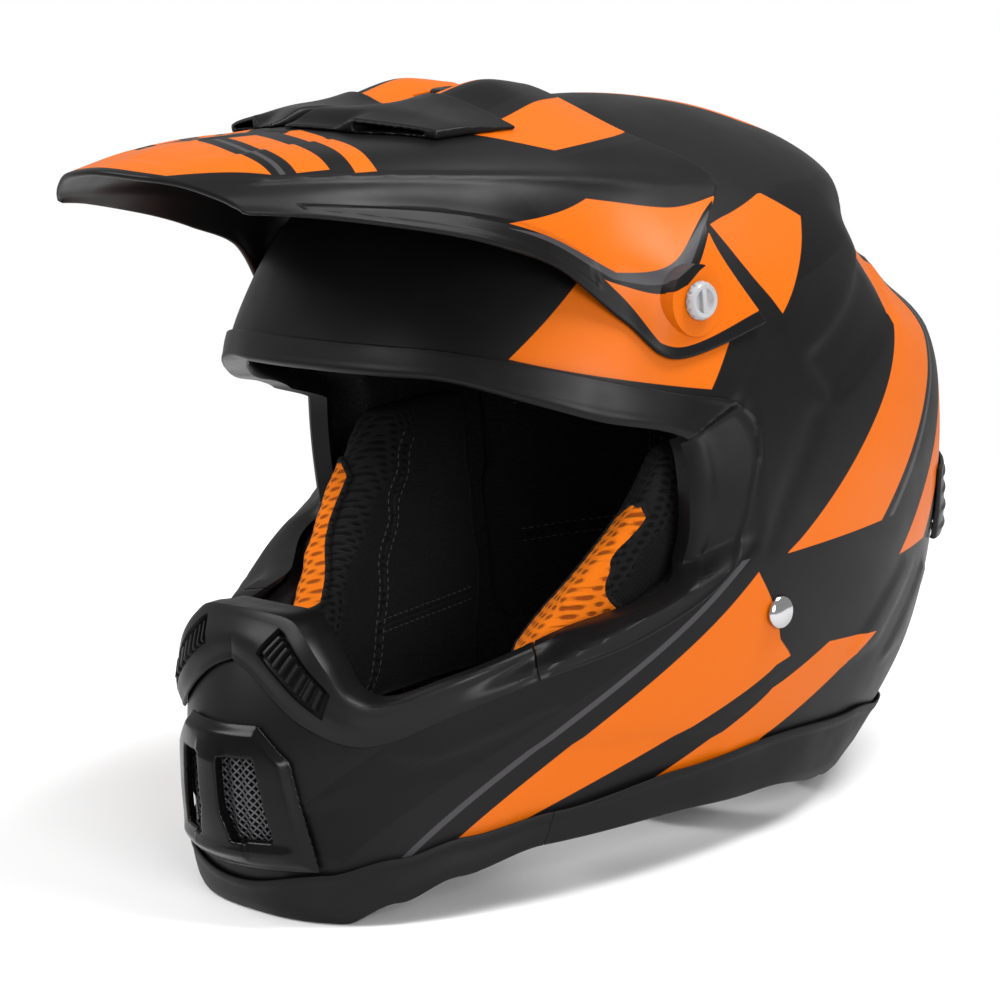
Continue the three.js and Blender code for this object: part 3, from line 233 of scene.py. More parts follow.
def skin_place(angle, place, out=0.0):
    angle, place = np.broadcast_arrays(np.asarray(angle, float), np.asarray(place, float))
    row = row_at(shell_shares, place)
    p = plain(angle, place)
    centre = row[..., 4] * REAR
    flat = np.stack([p[..., 0], p[..., 1] - centre, 0 * centre], -1)
    radius = np.maximum(np.linalg.norm(flat, axis=-1), 1e-9)
    p = p + flat * (sculpt(angle, row[..., 0]) / radius)[..., None]
    turn = plain(angle + 1, place) - plain(angle - 1, place)
    rise = plain(angle, place + 0.05) - plain(angle, np.maximum(0, place - 0.05))
    normal = np.cross(turn, rise)
    normal[place >= LAST - 0.3] = (0, 0, 1)
    return p + unit(normal) * np.asarray(out, float)[..., None]


def skin(angle, share, out=0.0):
    return skin_place(angle, place_of(share), out)


print("crown", np.round(skin(0, 1.0), 1), "temple", np.round(skin(90, 0.49), 1))

# %% [markdown]
# ## Helpers for meshes
# A moulded wall is a pair of grids, one for each face, with a rolled edge between them. Cuts are
# booleans. What a cut changes is only the mesh, so values that belong to places on the uncut grid
# are carried over afterwards by looking up the nearest place.

# %% Meshes
CREASE = 32


def finish_mesh(obj, crease=CREASE):
    edit = bmesh.new()
    edit.from_mesh(obj.data)
    bmesh.ops.remove_doubles(edit, verts=edit.verts, dist=2e-6)
    bmesh.ops.dissolve_degenerate(edit, edges=edit.edges, dist=1e-7)
    bmesh.ops.recalc_face_normals(edit, faces=edit.faces)
    edit.to_mesh(obj.data)
    edit.free()
    obj.data.shade_smooth()
    obj.data.set_sharp_from_angle(angle=math.radians(crease))
    return obj


def build(name, points, faces, crease=CREASE):
    mesh = bpy.data.meshes.new(name)
    mesh.from_pydata((np.asarray(points, float) * MM).tolist(), [], [list(map(int, f)) for f in faces])
    return finish_mesh(link(bpy.data.objects.new(name, mesh)), crease)


def apply(obj):
    """Turn an object's modifiers into its mesh."""
    mesh = bpy.data.meshes.new_from_object(obj.evaluated_get(bpy.context.evaluated_depsgraph_get()))
    obj.modifiers.clear()
    obj.data = mesh
    return obj


print("edges stay sharp from", CREASE, "degrees")


# %% Walls and sweeps
def slab(name, outer, inner, closed=False, pole=False, roll=0.8, steps=4):
    """A wall between two grids of points. Closed joins the last column to the first.

    Pole shuts the last row. Roll is how far the edge stands out between the two faces.
    """
    columns, rows = outer.shape[:2]
    points = [outer.reshape(-1, 3), inner.reshape(-1, 3)]
    i, j = np.meshgrid(np.arange(columns if closed else columns - 1), np.arange(rows - 1), indexing="ij")
    n = (i + 1) % columns
    quads = np.stack([i * rows + j, n * rows + j, n * rows + j + 1, i * rows + j + 1], -1).reshape(-1, 4)
    faces = [quads, quads[:, ::-1] + columns * rows]
    if closed:
        loops = [([(c, 0) for c in range(columns)], [(c, 1) for c in range(columns)])]
        if not pole:
            loops.append(([(c, rows - 1) for c in range(columns)], [(c, rows - 2) for c in range(columns)]))
    else:
        edge = [(c, 0) for c in range(columns)] + [(columns - 1, r) for r in range(1, rows)]
        edge += [(c, rows - 1) for c in range(columns - 2, -1, -1)] + [(0, r) for r in range(rows - 2, 0, -1)]
        near = [(min(max(c, 1), columns - 2), min(max(r, 1), rows - 2)) for c, r in edge]
        loops = [(edge, near)]
    start = 2 * columns * rows
    for edge, near in loops:
        here = np.array([c * rows + r for c, r in edge])
        inside = np.array([c * rows + r for c, r in near])
        a, b = points[0][here], points[1][here]
        away = unit(a - points[0][inside])
        half = np.linalg.norm(a - b, axis=1)[:, None] / 2
        ladder = [here]
        for k in range(1, steps):
            t = math.pi * k / steps
            points.append((a + b) / 2 + (a - b) / 2 * math.cos(t) + away * half * roll * math.sin(t))
            ladder.append(start + np.arange(len(here)))
            start += len(here)
        ladder.append(here + columns * rows)
        for low, high in zip(ladder, ladder[1:]):
            faces.append(np.stack([low, np.roll(low, -1), np.roll(high, -1), high], -1))
    return build(name, np.concatenate(points), np.concatenate(faces))


def sweep(name, sections, closed=False, crease=CREASE):
    """A skin through closed sections, capped at its ends unless it closes on itself."""
    sections = np.asarray(sections, float)
    count, corners = sections.shape[:2]
    i, j = np.meshgrid(np.arange(count if closed else count - 1), np.arange(corners), indexing="ij")
    n, k = (i + 1) % count, (j + 1) % corners
    quads = np.stack([i * corners + j, n * corners + j, n * corners + k, i * corners + k], -1)
    faces = quads.reshape(-1, 4).tolist()
    if not closed:
        faces += [list(range(corners)), [(count - 1) * corners + c for c in range(corners)]]
    return build(name, sections.reshape(-1, 3), faces, crease)


def rounded(section, radius, steps=3):
    """A closed section with its corners cut round by at most a radius."""
    section = np.asarray(section, float)
    out = []
    for k, p in enumerate(section):
        a, b = section[k - 1] - p, section[(k + 1) % len(section)] - p
        la, lb = max(np.linalg.norm(a), 1e-9), max(np.linalg.norm(b), 1e-9)
        r = min(radius, la * 0.45, lb * 0.45)
        start, end = p + a / la * r, p + b / lb * r
        for t in np.linspace(0, 1, steps):
            out.append((1 - t) ** 2 * start + 2 * t * (1 - t) * p + t * t * end)
    return np.array(out)


print("a square with round corners has", len(rounded([(0, 0), (9, 0), (9, 9), (0, 9)], 2)), "points")


# %% Cuts and turned pieces
def cut(obj, *tools, operation="DIFFERENCE"):
    """Take tools away from a piece, or join them to it. The tools are used up."""
    for tool in tools:
        change = obj.modifiers.new("cut", "BOOLEAN")
        change.operation, change.object, change.solver = operation, tool, "MANIFOLD"
    apply(obj)
    for tool in tools:
        bpy.data.objects.remove(tool)
    return finish_mesh(obj)


def soften(obj, voxel, passes=4, factor=0.5, crease=60):
    """Rebuild a solid from small cells and smooth it, as a mould rounds every edge."""
    remesh = obj.modifiers.new("cells", "REMESH")
    remesh.mode, remesh.voxel_size, remesh.adaptivity = "VOXEL", voxel * MM, 0
    ease = obj.modifiers.new("ease", "SMOOTH")
    ease.factor, ease.iterations = factor, passes
    return finish_mesh(apply(obj), crease)


def turned(name, profile, centre, axis, sides=64, wave=None, crease=CREASE):
    """A turned piece. Its profile gives radius and distance along the axis; a wave moves the radius."""
    axis = Vector(axis).normalized()
    side = axis.orthogonal().normalized()
    third = axis.cross(side)
    turns = np.linspace(0, 2 * np.pi, sides, endpoint=False)
    rows = []
    for radius, along in profile:
        r = radius + (wave(turns, radius, along) if wave else 0 * turns)
        ring = np.outer(r * np.cos(turns), side) + np.outer(r * np.sin(turns), third)
        rows.append(ring + np.array(centre) + np.array(axis) * along)
    return sweep(name, rows, crease=crease)


def bar(centre, axis, radius, length, sides=48):
    return turned("tool", [(radius, -length / 2), (radius, length / 2)], centre, axis, sides)


def block(low, high, name="tool"):
    corners = [(x, y, z) for x in (low[0], high[0]) for y in (low[1], high[1]) for z in (low[2], high[2])]
    sides = [(0, 1, 3, 2), (4, 6, 7, 5), (0, 4, 5, 1), (2, 3, 7, 6), (0, 2, 6, 4), (1, 5, 7, 3)]
    return build(name, corners, sides)


def bevel(obj, width, segments=3, angle=30):
    edge = obj.modifiers.new("edge", "BEVEL")
    edge.width, edge.segments = width * MM, segments
    edge.limit_method, edge.angle_limit = "ANGLE", math.radians(angle)
    return finish_mesh(apply(obj))


print("cuts, turned pieces and bevels ready")


# %% Copies of solids, and values carried over
def copy_of(node, name):
    """A free copy of a CAD solid, to be reshaped."""
    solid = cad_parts[node]
    obj = link(bpy.data.objects.new(name, solid.data.copy()))
    obj.data.materials.clear()
    bpy.context.view_layer.update()
    obj.data.transform(solid.matrix_world)
    return finish_mesh(obj)


def distance_to(points, corners):
    """Distance from each point to a polygon in the same plane, negative inside it."""
    corners = np.asarray(corners, float)
    best = np.full(len(points), np.inf)
    inside = np.zeros(len(points), bool)
    for a, b in zip(corners, np.roll(corners, -1, 0)):
        edge, p = b - a, points - a
        f = np.clip((p @ edge) / max(edge @ edge, 1e-9), 0, 1)
        best = np.minimum(best, np.linalg.norm(p - f[:, None] * edge, axis=1))
        rising = (a[1] <= points[:, 1]) != (b[1] <= points[:, 1])
        with np.errstate(divide="ignore", invalid="ignore"):
            cross = a[0] + (points[:, 1] - a[1]) * edge[0] / edge[1]
        inside ^= rising & (points[:, 0] < cross)
    return np.where(inside, -best, best)


def carry(obj, places, **values):
    """Give a mesh attributes, blended from the four nearest of some places in millimetres."""
    tree = KDTree(len(places))
    for number, place in enumerate(places * MM):
        tree.insert(place, number)
    tree.balance()
    found = [tree.find_n(v.co, 4) for v in obj.data.vertices]
    near = np.array([[hit[1] for hit in hits] for hits in found])
    weight = 1 / (np.array([[hit[2] for hit in hits] for hits in found]) + 1e-7) ** 2
    weight /= weight.sum(1)[:, None]
    for name, value in values.items():
        value = np.asarray(value, np.float32)
        kind, slot = ("FLOAT", "value") if value.ndim == 1 else ("FLOAT_VECTOR", "vector")
        layer = obj.data.attributes.new(name, kind, "POINT")
        mixed = (value[near] * (weight if value.ndim == 1 else weight[..., None])).sum(1)
        layer.data.foreach_set(slot, mixed.astype(np.float32).ravel())
    return obj


print("helpers ready")

# %% [markdown]
# ## Helpers for materials
# A group is a small recipe with named inputs that many materials share. Each returns masks, values or
# normals only, and the surface itself is set up in the material. Textures are placed by the object's
# own coordinates, in metres, so that a grain is as fine on every piece.

# %% Shader groups
def node(tree, kind, **settings):
    made = tree.nodes.new(kind)
    for name, value in settings.items():
        setattr(made, name, value)
    return made


def wire(tree, *pairs):
    for a, b in pairs:
        tree.links.new(a, b)


def new_group(name, inputs, outputs):
    tree = bpy.data.node_groups.new(name, "ShaderNodeTree")
    for label, kind, value in inputs:
        socket = tree.interface.new_socket(label, in_out="INPUT", socket_type="NodeSocket" + kind)
        if value is not None:
            socket.default_value = value
    for label, kind in outputs:
        tree.interface.new_socket(label, in_out="OUTPUT", socket_type="NodeSocket" + kind)
    return tree, tree.nodes.new("NodeGroupInput").outputs, tree.nodes.new("NodeGroupOutput").inputs


def maths(tree, operation, a, b=0.0, c=None):
    made = node(tree, "ShaderNodeMath", operation=operation)
    for socket, value in zip(made.inputs, (a, b, c)):
        if value is None:
            continue
        if isinstance(value, (int, float)):
            socket.default_value = value
        else:
            tree.links.new(value, socket)
    return made.outputs[0]


def calculator(tree):
    """Maths on one tree, so that a formula is read in a line."""
    return lambda operation, *values: maths(tree, operation, *values)


def ramp(tree, value, low, high, to_low=0.0, to_high=1.0):
    made = node(tree, "ShaderNodeMapRange", interpolation_type="SMOOTHSTEP")
    tree.links.new(value, made.inputs[0])
    for socket, number in zip(made.inputs[1:5], (low, high, to_low, to_high)):
        socket.default_value = number
    return made.outputs[0]


def blend_colour(tree, factor, a, b):
    made = node(tree, "ShaderNodeMix", data_type="RGBA")
    for socket, value in ((made.inputs[0], factor), (made.inputs[6], a), (made.inputs[7], b)):
        if isinstance(value, bpy.types.NodeSocket):
            tree.links.new(value, socket)
        elif isinstance(value, (int, float)):
            socket.default_value = value
        else:
            socket.default_value = (*value, 1)
    return made.outputs[2]


# %% Grain, weave and open mesh
# Moulded grain: a fine bump and a faint change of shine
grain_group, given, out = new_group(
    "moulded grain",
    [("Cell", "Float", 0.0008), ("Depth", "Float", 0.5), ("Normal", "Vector", None)],
    [("Normal", "Vector"), ("Shine", "Float")],
)
place = node(grain_group, "ShaderNodeTexCoord")
fine = node(grain_group, "ShaderNodeTexNoise")
fine.inputs["Detail"].default_value = 3
wide_noise = node(grain_group, "ShaderNodeTexNoise")
wide_noise.inputs["Scale"].default_value = 45
bump = node(grain_group, "ShaderNodeBump")
bump.inputs["Distance"].default_value = 0.0002
wire(
    grain_group,
    (place.outputs["Object"], fine.inputs["Vector"]),
    (place.outputs["Object"], wide_noise.inputs["Vector"]),
    (maths(grain_group, "DIVIDE", 1.0, given["Cell"]), fine.inputs["Scale"]),
    (given["Depth"], bump.inputs["Strength"]),
    (fine.outputs["Fac"], bump.inputs["Height"]),
    (given["Normal"], bump.inputs["Normal"]),
    (bump.outputs["Normal"], out["Normal"]),
    (ramp(grain_group, wide_noise.outputs["Fac"], 0.3, 0.7, -1.0, 1.0), out["Shine"]),
)

# Woven webbing: ribs across, cords along
weave_group, given, out = new_group(
    "webbing", [("Across", "Float", 0.0016), ("Along", "Float", 0.0011)], [("Height", "Float")]
)
uv = node(weave_group, "ShaderNodeUVMap")
split = node(weave_group, "ShaderNodeSeparateXYZ")
wire(weave_group, (uv.outputs[0], split.inputs[0]))
calc = calculator(weave_group)
column = calc("DIVIDE", split.outputs[0], given["Across"])
row = calc("DIVIDE", split.outputs[1], given["Along"])
shifted = calc("ADD", row, calc("MULTIPLY", calc("FLOOR", column), 0.5))
ridge = calc("ABSOLUTE", calc("SINE", calc("MULTIPLY", column, math.pi)))
knot = calc("ABSOLUTE", calc("SINE", calc("MULTIPLY", shifted, math.pi)))
wire(weave_group, (calc("MULTIPLY", ridge, calc("ADD", knot, 0.4)), out["Height"]))

# Open mesh cloth: staggered round holes, counted along the object's own X less Y, and up its Z
ROW_RISE = 0.866
mesh_group, given, out = new_group(
    "open mesh", [("Pitch", "Float", 0.0032), ("Open", "Float", 0.3)],
    [("Hole", "Float"), ("Height", "Float")],
)
place = node(mesh_group, "ShaderNodeTexCoord")
split = node(mesh_group, "ShaderNodeSeparateXYZ")
wire(mesh_group, (place.outputs["Object"], split.inputs[0]))
calc = calculator(mesh_group)
across = calc("DIVIDE", calc("SUBTRACT", split.outputs[0], split.outputs[1]), given["Pitch"])
rise = calc("DIVIDE", split.outputs[2], calc("MULTIPLY", given["Pitch"], ROW_RISE))
stagger = calc("MULTIPLY", calc("FLOOR", rise), 0.5)
dx = calc("SUBTRACT", calc("FRACT", calc("ADD", across, stagger)), 0.5)
dz = calc("SUBTRACT", calc("FRACT", rise), 0.5)
reach = calc("SQRT", calc("ADD", calc("MULTIPLY", dx, dx), calc("MULTIPLY", dz, dz)))
past = calc("SUBTRACT", given["Open"], reach)
wire(
    mesh_group,
    (ramp(mesh_group, past, -0.03, 0.05), out["Hole"]),
    (ramp(mesh_group, past, -0.16, 0.08, 1.0, 0.0), out["Height"]),
)
print("groups:", [tree.name for tree in bpy.data.node_groups])

# %% Materials
GRAIN = 0.0008


def grained(
    name, colour, roughness, cell=GRAIN, depth=0.35, metal=0.0, coat=0.0, spread=0.05, specular=0.15,
):
    """A plain finish with a moulded grain and a slightly uneven shine."""
    material = bpy.data.materials.new(name)
    material.use_nodes = True
    tree = material.node_tree
    surface = tree.nodes["Principled BSDF"]
    grain = node(tree, "ShaderNodeGroup", node_tree=grain_group)
    grain.inputs["Cell"].default_value, grain.inputs["Depth"].default_value = cell, depth
    surface.inputs["Base Color"].default_value = (*colour, 1)
    surface.inputs["Metallic"].default_value = metal
    surface.inputs["Coat Weight"].default_value = coat
    surface.inputs["Specular IOR Level"].default_value = specular
    wire(
        tree,
        (grain.outputs["Normal"], surface.inputs["Normal"]),
        (maths(tree, "MULTIPLY_ADD", grain.outputs["Shine"], spread, roughness), surface.inputs["Roughness"]),
    )
    return material, tree, surface, grain


def vector(tree, operation, a, b=None, output=0):
    made = node(tree, "ShaderNodeVectorMath", operation=operation)
    for socket, value in zip(made.inputs, (a, b)):
        if isinstance(value, bpy.types.NodeSocket):
            tree.links.new(value, socket)
        elif value is not None:
            socket.default_value = value
    return made.outputs[output]


print("grain of a plain finish:", GRAIN / MM, "mm")


# %% Distance to a mark
# Distance of a place on a printed sheet to a mark with four corners, negative inside it
mark_group, given, out = new_group(
    "printed mark", [("Place", "Vector", None)] + [("Corner " + k, "Vector", None) for k in "ABCD"],
    [("Distance", "Float")],
)
farthest = None
for here, ahead in ("AB", "BC", "CD", "DA"):
    edge = vector(mark_group, "SUBTRACT", given["Corner " + ahead], given["Corner " + here])
    away = vector(mark_group, "NORMALIZE", vector(mark_group, "CROSS_PRODUCT", edge, (0, 0, 1)))
    from_here = vector(mark_group, "SUBTRACT", given["Place"], given["Corner " + here])
    apart = vector(mark_group, "DOT_PRODUCT", from_here, away, 1)
    farthest = apart if farthest is None else maths(mark_group, "MAXIMUM", farthest, apart)
wire(mark_group, (farthest, out["Distance"]))


def turning_left(corners):
    """A mark's corners in the order that the group asks for, with a fourth one for a triangle."""
    corners = [np.array(c, float) for c in corners]
    if len(corners) == 3:
        corners.append((corners[2] + corners[0]) / 2)
    area = sum(a[0] * b[1] - b[0] * a[1] for a, b in zip(corners, corners[1:] + corners[:1]))
    return corners if area > 0 else corners[::-1]


def nearest_mark(tree, place, marks):
    """Distance to the nearest of several marks."""
    nearest = None
    for corners in marks:
        mark = node(tree, "ShaderNodeGroup", node_tree=mark_group)
        tree.links.new(place, mark.inputs["Place"])
        for label, corner in zip("ABCD", turning_left(corners)):
            mark.inputs["Corner " + label].default_value = (*corner, 0)
        nearest = mark.outputs[0] if nearest is None else maths(tree, "MINIMUM", nearest, mark.outputs[0])
    return nearest


# Millimetres over which a mark's edge fades, a distance that no mark reaches, and the unpainted inside
INK_EDGE, FAR = 0.16, 99.0
BARE_FIBRE = (0.008, 0.008, 0.008)


def printed(name, base, roughness, layers):
    """Matte paint with printed layers, later ones over earlier ones.

    Each layer is a colour, its marks on the sides and its marks on the crown.
    """
    material, tree, surface, grain = grained(name, base, roughness, cell=0.0007, depth=0.1, spread=0.03)
    side = node(tree, "ShaderNodeAttribute", attribute_name="side_sheet").outputs["Vector"]
    top = node(tree, "ShaderNodeAttribute", attribute_name="top_sheet").outputs["Vector"]
    parts = node(tree, "ShaderNodeSeparateXYZ")
    wire(tree, (side, parts.inputs[0]))
    flat_side = vector(tree, "MULTIPLY", side, (1, 1, 0))
    on_top = maths(tree, "GREATER_THAN", parts.outputs[2], 0.5)
    colour = base
    for tint, side_marks, top_marks in layers:
        beside = maths(tree, "SUBTRACT", 1.0, on_top)
        for marks, place, shut in ((side_marks, flat_side, on_top), (top_marks, top, beside)):
            if marks:
                apart = maths(tree, "MULTIPLY_ADD", shut, FAR, nearest_mark(tree, place, marks))
                inked = ramp(tree, apart, -INK_EDGE, INK_EDGE, 1.0, 0.0)
                colour = blend_colour(tree, inked, colour, tint)
    inside = node(tree, "ShaderNodeAttribute", attribute_name="inside").outputs["Fac"]
    colour = blend_colour(tree, inside, colour, BARE_FIBRE)
    wire(tree, (colour, surface.inputs["Base Color"]))
    return material


# %% Printed marks
# On the shell: millimetres round from the front (2.05 for a degree) and height. On its crown: millimetres
# aside and back. On the visor: millimetres back from its front edge and aside from its middle.
def band(start, end, wide, lean=(1, 0)):
    """A slanted bar from one place to another, as wide as said along its lean."""
    reach = np.array(lean) * wide
    return [np.array(start), np.array(start) + reach, np.array(end) + reach, np.array(end)]


ORANGE, DARK, GREY = (0.47, 0.092, 0.0005), (0.001, 0.0009, 0.001), (0.038, 0.036, 0.039)
shell_orange = [
    band((184, 116), (262, 216), 36), band((234, 98), (322, 210), 23), band((282, 97), (358, 194), 13),
    [(76, 15), (172, 112), (188, 74)], [(126, 25), (150, 21), (226, 70), (202, 74)],
    [(82, 203), (118, 233), (172, 205), (158, 184)], [(178, 240), (206, 247), (219, 236), (189, 205)],
]
shell_dark = [
    band((26, 34), (150, 132), 26, (1, -0.4)), band((206, 40), (262, 96), 26),
    [(120, 238), (176, 214), (180, 250), (130, 262)], [(196, 214), (300, 236), (296, 252), (214, 256)],
]
shell_grey = [
    band((64, 16), (166, 118), 3), band((224, 116), (302, 216), 3), band((261, 98), (349, 210), 2.5),
    [(120, 235), (172, 208), (173, 211), (122, 238)],
]
crown_orange = [band((-4, 26), (44, 80), 20, (0, 1)), band((-4, 60), (38, 108), 12, (0, 1))]
crown_grey = [band((-4, 52), (42, 103), 2.5, (0, 1))]
visor_orange = [
    [(4, -2), (4, 38), (32, 57), (50, -2)], band((60, 6), (42, 58), 14), band((84, 10), (64, 62), 9),
    [(112, 97), (150, 79), (215, 82), (158, 101)], [(152, 106), (215, 95), (215, 116), (176, 116)],
    [(118, 20), (142, 3), (215, 3), (215, 22)], [(132, 44), (215, 33), (215, 50), (156, 58)],
]
visor_dark = [
    [(52, 68), (120, 78), (130, 92), (60, 86)], [(118, 24), (215, 26), (215, 30), (128, 40)],
    [(150, 62), (215, 54), (215, 76), (156, 74)],
]
visor_grey = [band((54, 4), (35, 58), 2.4), [(110, 101), (156, 104), (215, 90), (215, 87)]]
MATTE = (0.0032, 0.0029, 0.0033)
shell_layers = [(DARK, shell_dark, []), (GREY, shell_grey, crown_grey), (ORANGE, shell_orange, crown_orange)]
shell_paint = printed("shell_paint", MATTE, 0.44, shell_layers)
visor_layers = [(DARK, visor_dark, []), (GREY, visor_grey, []), (ORANGE, visor_orange, [])]
visor_plastic = printed("visor_plastic", MATTE, 0.42, visor_layers)
hood_plastic = grained("hood_plastic", MATTE, 0.42, cell=0.0007, depth=0.1)[0]
gasket = grained("gasket", (0.0045, 0.0043, 0.0047), 0.38, cell=0.0006, depth=0.15)[0]
guard_plastic = grained("guard_plastic", (0.005, 0.0048, 0.0051), 0.36, cell=0.0005, depth=0.1)[0]
trim_rubber = grained("trim_rubber", (0.003, 0.003, 0.0031), 0.55, cell=0.0005, depth=0.5)[0]
vent_plastic = grained("vent_plastic", (0.0018, 0.0018, 0.0019), 0.22, cell=0.0006, depth=0.12)[0]
wire_mesh = grained("wire_mesh", (0.09, 0.09, 0.095), 0.42, cell=0.0004, depth=0.4, metal=0.7)[0]
black_plastic = grained("black_plastic", (0.005, 0.005, 0.0052), 0.4, cell=0.0005, depth=0.2)[0]
washer_rubber = grained("washer_rubber", (0.007, 0.007, 0.007), 0.7, cell=0.0004, depth=0.5)[0]
screw_metal = grained("screw_metal", (0.3, 0.3, 0.31), 0.2, cell=0.0006, depth=0.08, coat=0.4)[0]
brass_insert = grained("brass_insert", (0.6, 0.38, 0.13), 0.3, cell=0.0004, depth=0.2, metal=1.0)[0]
rivet_chrome = grained(
    "rivet_chrome", (0.45, 0.45, 0.46), 0.14, cell=0.001, depth=0.05, metal=1.0, spread=0.04,
)[0]
plate_steel = grained("plate_steel", (0.42, 0.42, 0.43), 0.34, cell=0.0005, depth=0.3, metal=1.0)[0]
ring_steel = grained("ring_steel", (0.6, 0.6, 0.61), 0.2, cell=0.0006, depth=0.12, metal=1.0)[0]

print("moulded and metal finishes:", len(bpy.data.materials))

# %% Foam, pad cloth and webbing
# Foam of fused beads
foam, tree, surface, grain = grained("foam", (0.008, 0.008, 0.0083), 0.85, cell=0.0006, depth=0.3)
beads = node(tree, "ShaderNodeTexVoronoi", feature="DISTANCE_TO_EDGE")
beads.inputs["Scale"].default_value = 330
pits = node(tree, "ShaderNodeBump")
pits.inputs["Distance"].default_value, pits.inputs["Strength"].default_value = 0.0006, 0.8
wire(
    tree,
    (node(tree, "ShaderNodeTexCoord").outputs["Object"], beads.inputs["Vector"]),
    (ramp(tree, beads.outputs["Distance"], 0.0, 0.12), pits.inputs["Height"]),
    (pits.outputs["Normal"], grain.inputs["Normal"]),
)


# Pad cloth: open mesh at the face opening's side, brushed fleece towards the head. The holes of the mesh get
# a darker colour, which is painted shade inside them
def cloth(name, thread, hole, pitch, opening, fuzz=0.35):
    material, tree, surface, grain = grained(
        name, thread, 0.92, cell=0.00035, depth=0.7, spread=0.04, specular=0.2,
    )
    pattern = node(tree, "ShaderNodeGroup", node_tree=mesh_group)
    pattern.inputs["Pitch"].default_value, pattern.inputs["Open"].default_value = pitch, opening
    relief = node(tree, "ShaderNodeBump")
    relief.inputs["Distance"].default_value, relief.inputs["Strength"].default_value = 0.0009, 1.0
    surface.inputs["Sheen Weight"].default_value = fuzz
    surface.inputs["Sheen Roughness"].default_value = 0.5
    surface.inputs["Sheen Tint"].default_value = (*[min(1, c * 4 + 0.05) for c in thread], 1)
    # Painted shade: the darker colour in the holes stands in for the shade inside them
    wire(
        tree,
        (pattern.outputs["Height"], relief.inputs["Height"]),
        (relief.outputs["Normal"], grain.inputs["Normal"]),
        (blend_colour(tree, pattern.outputs["Hole"], thread, hole), surface.inputs["Base Color"]),
    )
    return material


# Each cloth's second colour is painted shade in its mesh holes
pad_fabric = cloth("pad_fabric", (0.007, 0.007, 0.0073), (0.0006, 0.0006, 0.0006), 0.0034, 0.3, 0.2)
fleece = cloth("pad_fleece", (0.005, 0.0049, 0.0052), (0.003, 0.003, 0.003), 0.0012, 0.2, 0.25)
# Painted shade: a dark cloth for the sheet behind the chin vent's wires, standing in for the shade inside the
# vent
vent_shade_cloth = cloth("vent_shade_cloth", (0.006, 0.006, 0.0062), (0.0008, 0.0008, 0.0008), 0.0016, 0.3, 0.1)
accent_mesh = cloth("accent_mesh", (0.68, 0.145, 0.003), (0.26, 0.043, 0.001), 0.0036, 0.24, 0.15)
thread_grey = grained("thread_grey", (0.05, 0.05, 0.052), 0.7, cell=0.0003, depth=0.6)[0]

strap_webbing, tree, surface, grain = grained(
    "strap_webbing", (0.012, 0.012, 0.0125), 0.8, cell=0.0003, depth=0.5,
)
weave = node(tree, "ShaderNodeGroup", node_tree=weave_group)
relief = node(tree, "ShaderNodeBump")
relief.inputs["Distance"].default_value, relief.inputs["Strength"].default_value = 0.0005, 0.9
# Painted shade: the webbing is darker in the hollows of the weave and lighter on its ribs, by the weave's
# height
weave_with_painted_shade = blend_colour(tree, weave.outputs["Height"], (0.004, 0.004, 0.004), (0.02, 0.02, 0.021))
wire(
    tree, (weave.outputs["Height"], relief.inputs["Height"]),
    (relief.outputs["Normal"], grain.inputs["Normal"]), (weave_with_painted_shade, surface.inputs["Base Color"]),
)
print("materials:", len(bpy.data.materials))


# %% Putting a piece in place
def place_piece(obj, body, slot, material, *nodes):
    if material:
        obj.data.materials.clear()
        obj.data.materials.append(material)
    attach(obj, body)
    if nodes:
        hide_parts(*nodes)
    print(f"{obj.name}: {len(obj.data.polygons)} faces")
    return obj

# %% [markdown]
# ## The outer shell
# The shell is one grid of 288 columns by 124 rows. Shallow panels and creases are moved in or out by
# their distance to an outline drawn on the unrolled skin. Each place on that unrolled skin is kept on
# the mesh as an attribute, and tells the paint where its printed marks lie.

# %% Tables of the openings and the rim
# Degrees from the front, then shares of the helmet's height
opening_loop = np.array([
    [0, 0.695], [15, 0.693], [29, 0.686], [45, 0.653], [57, 0.625], [68, 0.604], [73.5, 0.579], [75, 0.526],
    [74.5, 0.439], [71, 0.393], [60, 0.361], [50, 0.34], [40, 0.316], [32, 0.295], [27, 0.305], [22, 0.344],
    [16, 0.379], [11, 0.398], [0, 0.402],
])
gasket_loop = np.array([
    [0, 0.732], [15, 0.73], [29, 0.723], [45, 0.702], [57, 0.679], [70, 0.649], [81, 0.625], [85, 0.589],
    [84.5, 0.526], [80, 0.414], [66, 0.34], [52, 0.302], [42, 0.27], [34, 0.242], [28, 0.24], [20, 0.267],
    [12, 0.305], [6, 0.328], [0, 0.34],
])
rim_table = np.array([
    [0, 0, 0.053], [22, 0, 0.07], [35, 0.028, 0.088], [45, 0.055, 0.107], [57, 0.078, 0.122],
    [75, 0.08, 0.142], [90, 0.07, 0.15], [110, 0.044, 0.136], [130, 0.012, 0.112], [148, 0, 0.1],
    [180, 0, 0.1],
])
# The row of both loops where the guard begins, the bead's share of the gasket, and the rim trim's web
GUARD_ROW, BEAD, WEB = 11, 0.35, 5 / HEIGHT
LAST_ROW = len(opening_loop) - 1
VENT_LOW, VENT_HIGH = 21, 76
# The side screws' axis and the strap's rivets: place along Y, and height
PIVOT = (-30.5, 217.5)
BOSS_FACE, BOSS = 116.4, 10.0
RIVET = (0.5, 94.0)
X_AXIS, Z_AXIS = (1, 0, 0), (0, 0, 1)
SIDES = ((1, "left"), (-1, "right"))
print("loops of", len(opening_loop), "rows, pivot", PIVOT, "rivet", RIVET)


def wrapped(angle):
    return np.abs((np.asarray(angle, float) + 180) % 360 - 180)


def foot_share(angle):
    return table_at(rim_table, wrapped(angle), 1)


def field(columns, rows):
    return np.meshgrid(np.linspace(0, 1, columns), np.linspace(0, 1, rows), indexing="ij")


def half_loop(place, fraction):
    a, b = row_at(opening_loop, place), row_at(gasket_loop, place)
    return mix(a[..., 0], b[..., 0], fraction), mix(a[..., 1], b[..., 1], fraction)


